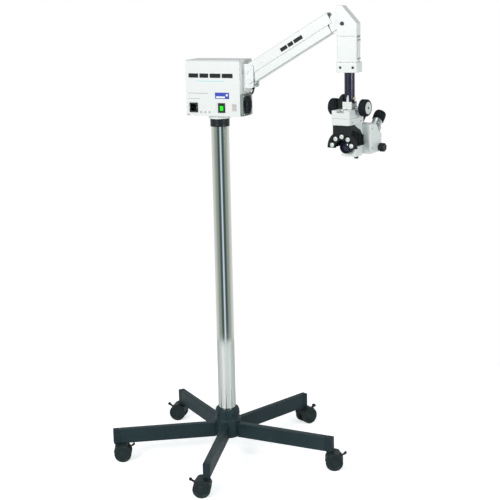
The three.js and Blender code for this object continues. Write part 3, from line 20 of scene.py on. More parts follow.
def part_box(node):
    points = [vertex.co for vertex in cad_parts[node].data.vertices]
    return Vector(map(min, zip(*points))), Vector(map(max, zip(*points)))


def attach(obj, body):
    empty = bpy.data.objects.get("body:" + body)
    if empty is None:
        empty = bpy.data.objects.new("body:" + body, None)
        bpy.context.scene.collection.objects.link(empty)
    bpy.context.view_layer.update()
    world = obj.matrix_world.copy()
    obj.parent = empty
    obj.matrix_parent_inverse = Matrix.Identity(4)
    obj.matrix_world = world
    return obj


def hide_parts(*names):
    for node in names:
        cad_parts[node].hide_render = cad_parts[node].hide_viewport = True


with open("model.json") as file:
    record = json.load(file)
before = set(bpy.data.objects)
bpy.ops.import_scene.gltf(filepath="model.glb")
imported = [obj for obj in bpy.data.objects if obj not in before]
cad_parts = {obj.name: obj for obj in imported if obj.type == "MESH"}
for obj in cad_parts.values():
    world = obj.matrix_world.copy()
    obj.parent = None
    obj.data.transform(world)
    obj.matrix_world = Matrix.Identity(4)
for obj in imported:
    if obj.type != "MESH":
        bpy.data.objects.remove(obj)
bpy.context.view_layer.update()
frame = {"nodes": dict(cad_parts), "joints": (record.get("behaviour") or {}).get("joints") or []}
log = logging.getLogger("colposcope")

Point = tuple[float, float]
Triple = tuple[float, float, float]
Spot = tuple[Sequence[float], Sequence[float]]
Socket = bpy.types.NodeSocket
Node = bpy.types.Node
Tree = bpy.types.NodeTree
Thing = bpy.types.Object

MM = 0.001
FULL_TURN = 2 * math.pi
SMOOTH_ANGLE = math.radians(34)
BEVEL_ANGLE = math.radians(32)
FLAT_ANGLE = math.radians(0.8)
STRAIGHT_ANGLE = math.radians(174)
SIDE_SHARE = 0.45  # the most of a side that one rounded corner takes
WELD_GAP = 2e-6
RELIEF_DEPTH = 0.0004
COAT_ROUGHNESS = 0.12
DUST_COLOUR = (0.55, 0.56, 0.55, 1.0)
WHITE = (1.0, 1.0, 1.0, 1.0)
MIX_COLOURS, MIX_RESULT = (6, 7), 2  # the Mix node's colour sockets


# ---------------------------------------------------------------- node groups


class Sockets(Enum):
    """Socket types for a group's interface."""

    NUMBER = "NodeSocketFloat"
    COLOUR = "NodeSocketColor"
    VECTOR = "NodeSocketVector"
    COUNT = "NodeSocketInt"
    COPY = "NodeSocketObject"
    FINISH = "NodeSocketMaterial"
    SHAPE = "NodeSocketGeometry"


def new_tree(
    name: str, kind: str, ins: dict[str, Sockets], outs: dict[str, Sockets]
) -> tuple[Tree, Node, Node]:
    """Make a node group with a named interface.

    Args:
        name: the group's name.
        kind: ShaderNodeTree or GeometryNodeTree.
        ins: its inputs by name.
        outs: its outputs by name.

    Returns:
        The tree, its group input and its group output.
    """
    tree = bpy.data.node_groups.new(name, kind)
    for label, socket in ins.items():
        tree.interface.new_socket(label, in_out="INPUT", socket_type=socket.value)
    for label, socket in outs.items():
        tree.interface.new_socket(label, in_out="OUTPUT", socket_type=socket.value)
    return tree, tree.nodes.new("NodeGroupInput"), tree.nodes.new("NodeGroupOutput")


@dataclass
class Wiring:
    """A short way to add and join nodes in a tree."""

    tree: Tree

    def add(self, kind: str, **settings: object) -> Node:
        """Add a node and set its properties."""
        node = self.tree.nodes.new(kind)
        for key, value in settings.items():
            setattr(node, key, value)
        return node

    def join(self, start: Socket, end: Socket) -> None:
        """Link one socket to another."""
        self.tree.links.new(start, end)

    def math(self, operation: str, first: object, second: object = 0.0) -> Socket:
        """Add a Math node.

        Args:
            operation: the node's operation.
            first: a socket or a number.
            second: a socket or a number.

        Returns:
            The node's result.
        """
        node = self.add("ShaderNodeMath", operation=operation)
        for socket, value in zip(node.inputs, (first, second)):
            self.feed(value, socket)
        return node.outputs[0]

    def feed(self, value: object, socket: Socket) -> None:
        """Link a socket, or set a constant."""
        if isinstance(value, Socket):
            self.join(value, socket)
        else:
            socket.default_value = value

    def noise(self, where: object, scale: object, detail: float, roughness: float) -> Socket:
        """Add a noise texture.

        Args:
            where: its coordinates.
            scale: its scale, a socket or a number.
            detail: how many finer layers it has.
            roughness: how strong they are.

        Returns:
            The texture's value.
        """
        node = self.add("ShaderNodeTexNoise")
        self.join(where, node.inputs["Vector"])
        self.feed(scale, node.inputs["Scale"])
        node.inputs["Detail"].default_value = detail
        node.inputs["Roughness"].default_value = roughness
        return node.outputs["Fac"]

    def span(self, value: object, low: float, high: float, to_low: object, to_high: object) -> Socket:
        """Map a value from one range to another, clamped.

        Args:
            value: a socket or a number.
            low: where its range starts.
            high: where its range ends.
            to_low: what the start becomes.
            to_high: what the end becomes.

        Returns:
            The mapped value.
        """
        node = self.add("ShaderNodeMapRange")
        for index, given in enumerate((value, low, high, to_low, to_high)):
            self.feed(given, node.inputs[index])
        return node.outputs[0]

    def blend(self, share: object, first: object, second: object) -> Socket:
        """Mix two colours.

        Args:
            share: how much of the second there is.
            first: a socket or a colour.
            second: a socket or a colour.

        Returns:
            The mixed colour.
        """
        node = self.add("ShaderNodeMix", data_type="RGBA")
        for index, given in zip((0, *MIX_COLOURS), (share, first, second)):
            self.feed(given, node.inputs[index])
        return node.outputs[MIX_RESULT]


class ShaderKit:
    """The effects that the finishes share, each a node group built once."""

    def __init__(self) -> None:
        """Build the groups."""
        self.mottle = self._mottle()
        self.grain = self._grain()
        self.scratches = self._scratches()
        self.dust = self._dust()

    def _mottle(self) -> Tree:
        """Broad and fine unevenness of a coat: a colour and a share."""
        tree, start, end = new_tree(
            "mottle", "ShaderNodeTree",
            {"Place": Sockets.VECTOR, "Colour": Sockets.COLOUR, "Second Colour": Sockets.COLOUR,
             "Scale": Sockets.NUMBER, "Amount": Sockets.NUMBER},
            {"Colour": Sockets.COLOUR, "Share": Sockets.NUMBER},
        )
        wire = Wiring(tree)
        broad = wire.noise(start.outputs["Place"], start.outputs["Scale"], 4.0, 0.6)
        finer = wire.math("MULTIPLY", start.outputs["Scale"], 7.3)
        fine = wire.noise(start.outputs["Place"], finer, 3.0, 0.55)
        both = wire.math("ADD", wire.math("MULTIPLY", broad, 0.65), wire.math("MULTIPLY", fine, 0.35))
        share = wire.span(both, 0.36, 0.64, 0.0, 1.0)
        amount = wire.math("MULTIPLY", share, start.outputs["Amount"])
        colour = wire.blend(amount, start.outputs["Colour"], start.outputs["Second Colour"])
        wire.join(colour, end.inputs["Colour"])
        wire.join(share, end.inputs["Share"])
        return tree

    def _grain(self) -> Tree:
        """Orange peel or moulded texture: a height."""
        tree, start, end = new_tree(
            "grain", "ShaderNodeTree",
            {"Place": Sockets.VECTOR, "Scale": Sockets.NUMBER, "Pits": Sockets.NUMBER},
            {"Height": Sockets.NUMBER},
        )
        wire = Wiring(tree)
        cells = wire.add("ShaderNodeTexVoronoi", feature="SMOOTH_F1")
        wire.join(start.outputs["Place"], cells.inputs["Vector"])
        wire.join(start.outputs["Scale"], cells.inputs["Scale"])
        soft = wire.noise(start.outputs["Place"], start.outputs["Scale"], 2.0, 0.5)
        pits = wire.math("MULTIPLY", cells.outputs["Distance"], start.outputs["Pits"])
        wire.join(wire.math("ADD", soft, pits), end.inputs["Height"])
        return tree

    def _scratches(self) -> Tree:
        """Fine drawn or turned lines: a share."""
        tree, start, end = new_tree(
            "scratches", "ShaderNodeTree",
            {"Place": Sockets.VECTOR, "Stretch": Sockets.VECTOR, "Scale": Sockets.NUMBER},
            {"Share": Sockets.NUMBER},
        )
        wire = Wiring(tree)
        pulled = wire.add("ShaderNodeVectorMath", operation="MULTIPLY")
        wire.join(start.outputs["Place"], pulled.inputs[0])
        wire.join(start.outputs["Stretch"], pulled.inputs[1])
        lines = wire.noise(pulled.outputs[0], start.outputs["Scale"], 6.0, 0.7)
        wire.join(wire.span(lines, 0.35, 0.65, 0.0, 1.0), end.inputs["Share"])
        return tree

    def _dust(self) -> Tree:
        """Dust that settles on what faces up: a share."""
        tree, start, end = new_tree(
            "dust", "ShaderNodeTree",
            {"Place": Sockets.VECTOR, "Normal": Sockets.VECTOR, "Amount": Sockets.NUMBER},
            {"Share": Sockets.NUMBER},
        )
        wire = Wiring(tree)
        parts = wire.add("ShaderNodeSeparateXYZ")
        wire.join(start.outputs["Normal"], parts.inputs[0])
        facing = wire.span(parts.outputs[2], 0.35, 1.0, 0.0, 1.0)
        patches = wire.span(wire.noise(start.outputs["Place"], 38.0, 5.0, 0.65), 0.38, 0.68, 0.2, 1.0)
        share = wire.math("MULTIPLY", wire.math("MULTIPLY", facing, patches), start.outputs["Amount"])
        wire.join(share, end.inputs["Share"])
        return tree


# ---------------------------------------------------------------- finishes


@dataclass(frozen=True)
class Finish:
    """A painted, moulded or metal surface, in linear colours and per-metre scales."""

    name: str
    slot: str
    colour: Triple
    second: Triple
    roughness: float
    metallic: float = 0.0
    coat: float = 0.0
    mottle_scale: float = 14.0
    mottle: float = 0.5
    grain_scale: float = 900.0
    pits: float = 0.4
    depth: float = 0.05
    lines: float = 0.0
    line_stretch: Triple = (1.0, 1.0, 0.02)
    line_scale: float = 1500.0
    dust: float = 0.0
    specular: float = 0.5

    def build(self, kit: ShaderKit) -> bpy.types.Material:
        """Make the material.

        Args:
            kit: the shared effects.

        Returns:
            The finished material.
        """
        material = bpy.data.materials.new(self.name)
        material.use_nodes = True
        material.diffuse_color = (*self.colour, 1.0)
        wire = Wiring(material.node_tree)
        shader = material.node_tree.nodes["Principled BSDF"]
        where = wire.add("ShaderNodeTexCoord").outputs["Object"]
        colour, share = self._colour(wire, kit, where)
        rough = wire.span(share, 0.0, 1.0, self.roughness * 0.86, self.roughness * 1.14)
        if self.lines:
            drawn = self._group(wire, kit.scratches, where)
            drawn.inputs["Stretch"].default_value = self.line_stretch
            drawn.inputs["Scale"].default_value = self.line_scale
            rough = wire.math("ADD", rough, wire.math("MULTIPLY", drawn.outputs["Share"], self.lines))
        if self.dust:
            settled = self._group(wire, kit.dust, where)
            wire.join(wire.add("ShaderNodeNewGeometry").outputs["Normal"], settled.inputs["Normal"])
            settled.inputs["Amount"].default_value = self.dust
            colour = wire.blend(settled.outputs["Share"], colour, DUST_COLOUR)
            rough = wire.math("ADD", rough, wire.math("MULTIPLY", settled.outputs["Share"], 0.4))
        wire.join(colour, shader.inputs["Base Color"])
        wire.join(rough, shader.inputs["Roughness"])
        shader.inputs["Metallic"].default_value = self.metallic
        shader.inputs["Coat Weight"].default_value = self.coat
        shader.inputs["Coat Roughness"].default_value = COAT_ROUGHNESS
        shader.inputs["Specular IOR Level"].default_value = self.specular
        self._relief(wire, kit, where, shader)
        self._extra(wire, where, shader)
        return material

    def _group(self, wire: Wiring, tree: Tree, where: Socket) -> Node:
        """Place a shared group and give it its coordinates."""
        node = wire.add("ShaderNodeGroup", node_tree=tree)
        wire.join(where, node.inputs["Place"])
        return node

    def _colour(
        self, wire: Wiring, kit: ShaderKit, where: Socket
    ) -> tuple[Socket, Socket]:
        """Return the coat's colour and the share of its second tone."""
        uneven = self._group(wire, kit.mottle, where)
        uneven.inputs["Colour"].default_value = (*self.colour, 1.0)
        uneven.inputs["Second Colour"].default_value = (*self.second, 1.0)
        uneven.inputs["Scale"].default_value = self.mottle_scale
        uneven.inputs["Amount"].default_value = self.mottle
        return uneven.outputs["Colour"], uneven.outputs["Share"]

    def _relief(
        self, wire: Wiring, kit: ShaderKit, where: Socket, shader: Node
    ) -> None:
        """Add the surface's fine relief."""
        grain = self._group(wire, kit.grain, where)
        grain.inputs["Scale"].default_value = self.grain_scale
        grain.inputs["Pits"].default_value = self.pits
        bump = wire.add("ShaderNodeBump")
        bump.inputs["Strength"].default_value = self.depth
        bump.inputs["Distance"].default_value = RELIEF_DEPTH
        wire.join(grain.outputs["Height"], bump.inputs["Height"])
        wire.join(bump.outputs["Normal"], shader.inputs["Normal"])

    def _extra(self, wire: Wiring, where: Socket, shader: Node) -> None:
        """Settings of a special finish: none here."""


@dataclass(frozen=True)
class ClearFinish(Finish):
    """Coated glass or a clear moulded lens."""

    ior: float = 1.5
    clear: float = 0.9

    def _extra(self, wire: Wiring, where: Socket, shader: Node) -> None:
        """Let light through."""
        shader.inputs["Transmission Weight"].default_value = self.clear
        shader.inputs["IOR"].default_value = self.ior


@dataclass(frozen=True)
class GlowFinish(Finish):
    """A surface lit from behind, brighter in its middle."""

    glow: Triple = (1.0, 1.0, 1.0)
    strength: float = 1.0
    spread: float = 90.0

    def _extra(self, wire: Wiring, where: Socket, shader: Node) -> None:
        """Add an uneven glow."""
        patches = wire.span(wire.noise(where, self.spread, 2.0, 0.5), 0.3, 0.7, 0.55, 1.0)
        dim = tuple(part * 0.45 for part in self.glow)
        colour = wire.blend(patches, (*dim, 1.0), (*self.glow, 1.0))
        wire.join(colour, shader.inputs["Emission Color"])
        shader.inputs["Emission Strength"].default_value = self.strength


@dataclass(frozen=True)
class LayeredFinish(Finish):
    """Thin stacked laminations or wound wire, as fine bands along Z."""

    pitch: float = 700.0

    def _relief(
        self, wire: Wiring, kit: ShaderKit, where: Socket, shader: Node
    ) -> None:
        """Raise the edges of the layers."""
        bands = wire.add("ShaderNodeTexWave", wave_type="BANDS", bands_direction="Z")
        wire.join(where, bands.inputs["Vector"])
        bands.inputs["Scale"].default_value = self.pitch / 6.0
        bands.inputs["Distortion"].default_value = 0.6
        bump = wire.add("ShaderNodeBump")
        bump.inputs["Strength"].default_value = 0.6
        bump.inputs["Distance"].default_value = RELIEF_DEPTH
        wire.join(bands.outputs["Fac"], bump.inputs["Height"])
        wire.join(bump.outputs["Normal"], shader.inputs["Normal"])


BASE_ENAMEL = Finish(
    "base_enamel", "base_enamel", (0.008, 0.024, 0.030), (0.015, 0.036, 0.043), 0.44, specular=0.3,
    coat=0.06, grain_scale=650.0, depth=0.22, dust=0.03, mottle=0.7,
)
CASTER_NYLON = Finish(
    "caster_nylon", "caster_nylon", (0.006, 0.015, 0.016), (0.014, 0.027, 0.028), 0.46, specular=0.35,
    grain_scale=1500.0, depth=0.3, dust=0.03, mottle=0.8, mottle_scale=60.0,
)
TREAD = Finish(
    "tread", "caster_nylon", (0.012, 0.020, 0.021), (0.035, 0.045, 0.045), 0.7, specular=0.25,
    grain_scale=2200.0, depth=0.4, mottle=0.9, mottle_scale=90.0,
)
CHROME = Finish(
    "column_chrome", "column_chrome", (0.80, 0.83, 0.80), (0.72, 0.76, 0.73), 0.06, metallic=1.0,
    grain_scale=160.0, depth=0.012, lines=0.05, line_stretch=(1.0, 1.0, 0.01), mottle_scale=5.0,
)
BLACK_PLASTIC = Finish(
    "black_plastic", "black_plastic", (0.005, 0.009, 0.013), (0.011, 0.016, 0.021), 0.38, specular=0.35,
    grain_scale=1400.0, depth=0.25, dust=0.03, mottle_scale=45.0,
)
BLACK_CAST = Finish(
    "black_cast", "black_plastic", (0.003, 0.006, 0.008), (0.012, 0.020, 0.018), 0.42, specular=0.25,
    grain_scale=900.0, depth=0.5, pits=0.9, mottle_scale=60.0,
)
WHITE_ENAMEL = Finish(
    "white_enamel", "white_enamel", (0.83, 0.845, 0.84), (0.78, 0.80, 0.79), 0.34, coat=0.2,
    grain_scale=700.0, depth=0.12, mottle_scale=9.0, mottle=0.6,
)
SILVER_ENAMEL = Finish(
    "silver_enamel", "silver_enamel", (0.84, 0.87, 0.865), (0.90, 0.915, 0.91), 0.32, metallic=0.08,
    coat=0.25, grain_scale=520.0, pits=0.35, depth=0.16, mottle_scale=60.0, mottle=0.5,
)
STEEL = Finish(
    "bare_steel", "bare_steel", (0.50, 0.53, 0.53), (0.60, 0.62, 0.62), 0.26, metallic=1.0,
    grain_scale=300.0, depth=0.03, lines=0.14, line_stretch=(1.0, 0.03, 1.0), mottle_scale=60.0,
)
SATIN_TUBE = Finish(
    "satin_tube", "bare_steel", (0.62, 0.66, 0.65), (0.72, 0.75, 0.74), 0.22, metallic=1.0,
    grain_scale=300.0, depth=0.02, lines=0.10, line_stretch=(0.03, 1.0, 1.0), mottle_scale=60.0,
)
BRASS = Finish(
    "brass", "bare_steel", (0.74, 0.64, 0.42), (0.64, 0.54, 0.34), 0.28, metallic=1.0,
    grain_scale=300.0, depth=0.03, lines=0.1, mottle_scale=90.0,
)
BLACK_OXIDE = Finish(
    "black_oxide", "bare_steel", (0.012, 0.016, 0.022), (0.03, 0.035, 0.045), 0.35, metallic=0.6,
    grain_scale=900.0, depth=0.1, mottle_scale=150.0,
)
POST_ENAMEL = Finish(
    "post_enamel", "post_enamel", (0.006, 0.004, 0.028), (0.011, 0.008, 0.042), 0.26, coat=0.25,
    grain_scale=500.0, depth=0.06, mottle_scale=25.0,
)
RUBBER = Finish(
    "black_rubber", "black_rubber", (0.003, 0.006, 0.010), (0.009, 0.013, 0.018), 0.52, specular=0.2,
    grain_scale=2600.0, depth=0.4, dust=0.03, mottle_scale=70.0,
)
LEAD_JACKET = Finish(
    "lead_jacket", "black_rubber", (0.05, 0.075, 0.06), (0.09, 0.12, 0.10), 0.5,
    grain_scale=1800.0, depth=0.25, mottle_scale=140.0,
)
GREEN_LAMP = GlowFinish(
    "green_lamp", "green_lamp", (0.01, 0.42, 0.012), (0.02, 0.6, 0.02), 0.22, coat=0.5,
    grain_scale=500.0, depth=0.03, glow=(0.012, 0.80, 0.010), strength=0.75,
)
WINDING = LayeredFinish(
    "winding", "transformer_core", (0.32, 0.12, 0.04), (0.42, 0.18, 0.06), 0.35, metallic=0.7, pitch=900.0,
)
LAMINATIONS = LayeredFinish(
    "laminations", "transformer_core", (0.10, 0.09, 0.085), (0.16, 0.15, 0.14), 0.5, metallic=0.5,
    pitch=1200.0,
)
# Dark blue base colour: painted shade of the dark optics seen through the glass, and painted blue reflection
# of the lens coating.
LENS_GLASS = ClearFinish(
    "lens_glass", "clear_lens", (0.016, 0.030, 0.075), (0.030, 0.022, 0.065), 0.04, coat=0.5, depth=0.0,
    mottle_scale=30.0, mottle=0.6, clear=0.3,
)
LED_LENS = GlowFinish(
    "led_lens", "clear_lens", (0.66, 0.72, 0.70), (0.80, 0.84, 0.83), 0.16, coat=0.8,
    grain_scale=1100.0, depth=0.15, glow=(0.80, 0.84, 0.84), strength=0.05, spread=260.0,
)
WHITE_DISC = Finish(
    "white_disc", "silver_enamel", (0.74, 0.78, 0.76), (0.64, 0.69, 0.67), 0.3, coat=0.3,
    grain_scale=800.0, depth=0.08, mottle_scale=80.0,
)
FAN_CASTING = Finish(
    "fan_casting", "black_plastic", (0.17, 0.21, 0.20), (0.25, 0.29, 0.28), 0.45, metallic=0.3,
    grain_scale=900.0, depth=0.3, mottle_scale=70.0,
)
INK_BLACK = Finish(
    "ink_black", "black_plastic", (0.006, 0.008, 0.009), (0.014, 0.016, 0.018), 0.45, specular=0.2,
    grain_scale=1800.0, depth=0.05, mottle_scale=200.0,
)
INK_CYAN = Finish(
    "ink_cyan", "white_enamel", (0.24, 0.72, 0.80), (0.32, 0.78, 0.84), 0.4,
    grain_scale=1800.0, depth=0.05, mottle_scale=200.0,
)
INK_GREY = Finish(
    "ink_grey", "white_enamel", (0.42, 0.44, 0.44), (0.52, 0.54, 0.53), 0.45,
    grain_scale=1800.0, depth=0.05, mottle_scale=200.0,
)
SHADE_GREY = Finish(
    "shade_grey", "white_enamel", (0.20, 0.27, 0.24), (0.28, 0.35, 0.32), 0.5,
    grain_scale=1500.0, depth=0.05, mottle_scale=120.0,
)
LABEL_BLUE = Finish(
    "label_blue", "white_enamel", (0.02, 0.05, 0.45), (0.03, 0.07, 0.55), 0.3, coat=0.3,
    grain_scale=1500.0, depth=0.05, mottle_scale=120.0,
)
LABEL_WHITE = Finish(
    "label_white", "white_enamel", (0.86, 0.87, 0.87), (0.8, 0.81, 0.81), 0.35,
    grain_scale=1500.0, depth=0.05, mottle_scale=120.0,
)
LABEL_BUFF = Finish(
    "label_buff", "white_enamel", (0.58, 0.53, 0.50), (0.66, 0.60, 0.57), 0.4,
    grain_scale=1500.0, depth=0.05, mottle_scale=120.0,
)
CAP_PLASTIC = Finish(
    "cap_plastic", "base_enamel", (0.007, 0.020, 0.026), (0.013, 0.031, 0.037), 0.5, specular=0.3,
    grain_scale=1300.0, depth=0.35, dust=0.03, mottle_scale=60.0,
)

FLOOR_PAINT = Finish(
    "floor_paint", "white_enamel", (0.93, 0.935, 0.935), (0.90, 0.905, 0.91), 0.55,
    grain_scale=60.0, depth=0.02, mottle_scale=3.0, mottle=0.5, specular=0.2,
)


class Palette:
    """Materials made from finishes, one each, on demand."""

    def __init__(self) -> None:
        """Build the shared effects."""
        self.kit = ShaderKit()
        self.made: dict[str, bpy.types.Material] = {}

    def __getitem__(self, finish: Finish) -> bpy.types.Material:
        """Return a finish's material, made the first time it is asked for."""
        if finish.name not in self.made:
            self.made[finish.name] = finish.build(self.kit)
        return self.made[finish.name]


PALETTE = Palette()


# ---------------------------------------------------------------- places


@dataclass(frozen=True)
class Place:
    """A local frame: an origin and three axes in the CAD frame."""

    origin: Vector
    x: Vector
    y: Vector
    z: Vector

    @property
    def matrix(self) -> Matrix:
        """The matrix from local to CAD coordinates."""
        turn = Matrix((self.x, self.y, self.z)).transposed().to_4x4()
        return Matrix.Translation(self.origin) @ turn

    @classmethod
    def from_xz(cls, origin: Sequence[float], x: Sequence[float], z: Sequence[float]) -> "Place":
        """A place from its origin, its X axis and a near Z axis.

        Args:
            origin: its origin.
            x: along its X axis.
            z: roughly along its Z axis.

        Returns:
            The place.
        """
        across = Vector(x).normalized()
        side = Vector(z).cross(across).normalized()
        return cls(Vector(origin), across, side, across.cross(side))

    def box(self, node: str) -> tuple[Vector, Vector]:
        """Measure a CAD node in this place's axes.

        Args:
            node: the node.

        Returns:
            Its lowest and its highest corner.
        """
        back = self.matrix.inverted()
        points = [back @ vertex.co for vertex in frame["nodes"][node].data.vertices]
        low = Vector(min(point[k] for point in points) for k in range(3))
        high = Vector(max(point[k] for point in points) for k in range(3))
        return low, high

    def moved(self, x: float, y: float, z: float) -> "Place":
        """The same axes at another local point."""
        return Place(self.matrix @ Vector((x, y, z)), self.x, self.y, self.z)

    def aimed(self, axis: Sequence[float]) -> "Place":
        """Keep the origin and turn Z.

        Args:
            axis: the local direction that Z takes.

        Returns:
            The turned place.
        """
        turn = self.matrix.to_3x3()
        aim = (turn @ Vector(axis)).normalized()
        helper = self.x if abs(aim.dot(self.x)) < 0.9 else self.y
        side = aim.cross(helper).normalized()
        return Place(self.origin, side.cross(aim), side, aim)


JOINTS = {joint["name"]: joint for joint in frame["joints"]}


def upright(origin: Sequence[float]) -> Place:
    """A place with the CAD frame's own axes."""
    return Place.from_xz(origin, (1, 0, 0), (0, 0, 1))


def joint_place(name: str, x: Sequence[float] = (1, 0, 0)) -> Place:
    """A place at a joint, upright, with a chosen X axis."""
    return Place.from_xz(JOINTS[name]["pos_m"], x, (0.0, 0.0, 1.0))


def arm_place(joint: str) -> Place:
    """A link's own axes at rest: X from the shoulder pivot to the elbow pivot.

    Args:
        joint: the link's pivot.

    Returns:
        The place at that pivot.
    """
    start = Vector(JOINTS["arm_lift"]["pos_m"])
    end = Vector(JOINTS["elbow_level"]["pos_m"])
    along = Vector((end.x - start.x, 0.0, end.z - start.z))
    return Place.from_xz(JOINTS[joint]["pos_m"], along, (0, 0, 1))


BOX_TOP = 154.5 * MM
AT_ORIGIN = upright((0, 0, 0))
COLUMN_LOW, COLUMN_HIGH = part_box("column")
COLUMN_FOOT = Vector(((COLUMN_LOW.x + COLUMN_HIGH.x) / 2, (COLUMN_LOW.y + COLUMN_HIGH.y) / 2, 0.0))
COLUMN_RADIUS = (COLUMN_HIGH.x - COLUMN_LOW.x) / 2
BOX_PLACE = upright((COLUMN_FOOT.x, COLUMN_FOOT.y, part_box("box_cover")[1].z - BOX_TOP))
HEAD_X = Vector(JOINTS["focus_turn"]["axis"])
if HEAD_X.x < 0:
    HEAD_X = -HEAD_X


# ---------------------------------------------------------------- shapes


def rounded(outline: Sequence[Point], radius: float, cuts: int = 3, closed: bool = True) -> list[Point]:
    """Round an outline's corners.

    Args:
        outline: its points in order.
        radius: the corner radius, made smaller where a side is short.
        cuts: how many pieces each corner's arc has.
        closed: whether the last point joins the first; an open outline keeps its two ends.

    Returns:
        The rounded outline.
    """
    if radius <= 0.0:
        return list(outline)
    points = [Vector(point) for point in outline]
    count = len(points)
    made: list[Point] = []
    for k, corner in enumerate(points):
        if not closed and k in (0, count - 1):
            made.append(tuple(corner))
            continue
        back, ahead = points[k - 1] - corner, points[(k + 1) % count] - corner
        angle = back.angle(ahead, math.pi)
        if angle > STRAIGHT_ANGLE:
            made.append(tuple(corner))
            continue
        reach = min(radius / math.tan(angle / 2), back.length * SIDE_SHARE, ahead.length * SIDE_SHARE)
        start, end = corner + back.normalized() * reach, corner + ahead.normalized() * reach
        for step in range(cuts + 1):
            t = step / cuts
            made.append(tuple(start * (1 - t) ** 2 + corner * 2 * t * (1 - t) + end * t * t))
    return made


def arc(centre: Point, radius: float, start: float, end: float, cuts: int) -> list[Point]:
    """Points along an arc.

    Args:
        centre: its centre.
        radius: its radius.
        start: the first angle, in degrees.
        end: the last angle.
        cuts: how many pieces it has.

    Returns:
        The points.
    """
    steps = [math.radians(start + (end - start) * k / cuts) for k in range(cuts + 1)]
    return [(centre[0] + radius * math.cos(a), centre[1] + radius * math.sin(a)) for a in steps]


def rectangle(x0: float, x1: float, y0: float, y1: float) -> list[Point]:
    """A rectangle's corners, counter-clockwise."""
    return [(x0, y0), (x1, y0), (x1, y1), (x0, y1)]


def mirrored(profile: Sequence[Point], side: int) -> list[Point]:
    """A turned profile, or for side -1 its mirror image along the axis."""
    return list(profile) if side > 0 else [(radius, -height) for radius, height in reversed(profile)]


AXES = {
    "z": Matrix.Identity(4),
    "x": Matrix(((0, 0, 1, 0), (1, 0, 0, 0), (0, 1, 0, 0), (0, 0, 0, 1))),
    "y": Matrix(((0, 1, 0, 0), (0, 0, 1, 0), (1, 0, 0, 0), (0, 0, 0, 1))),
}


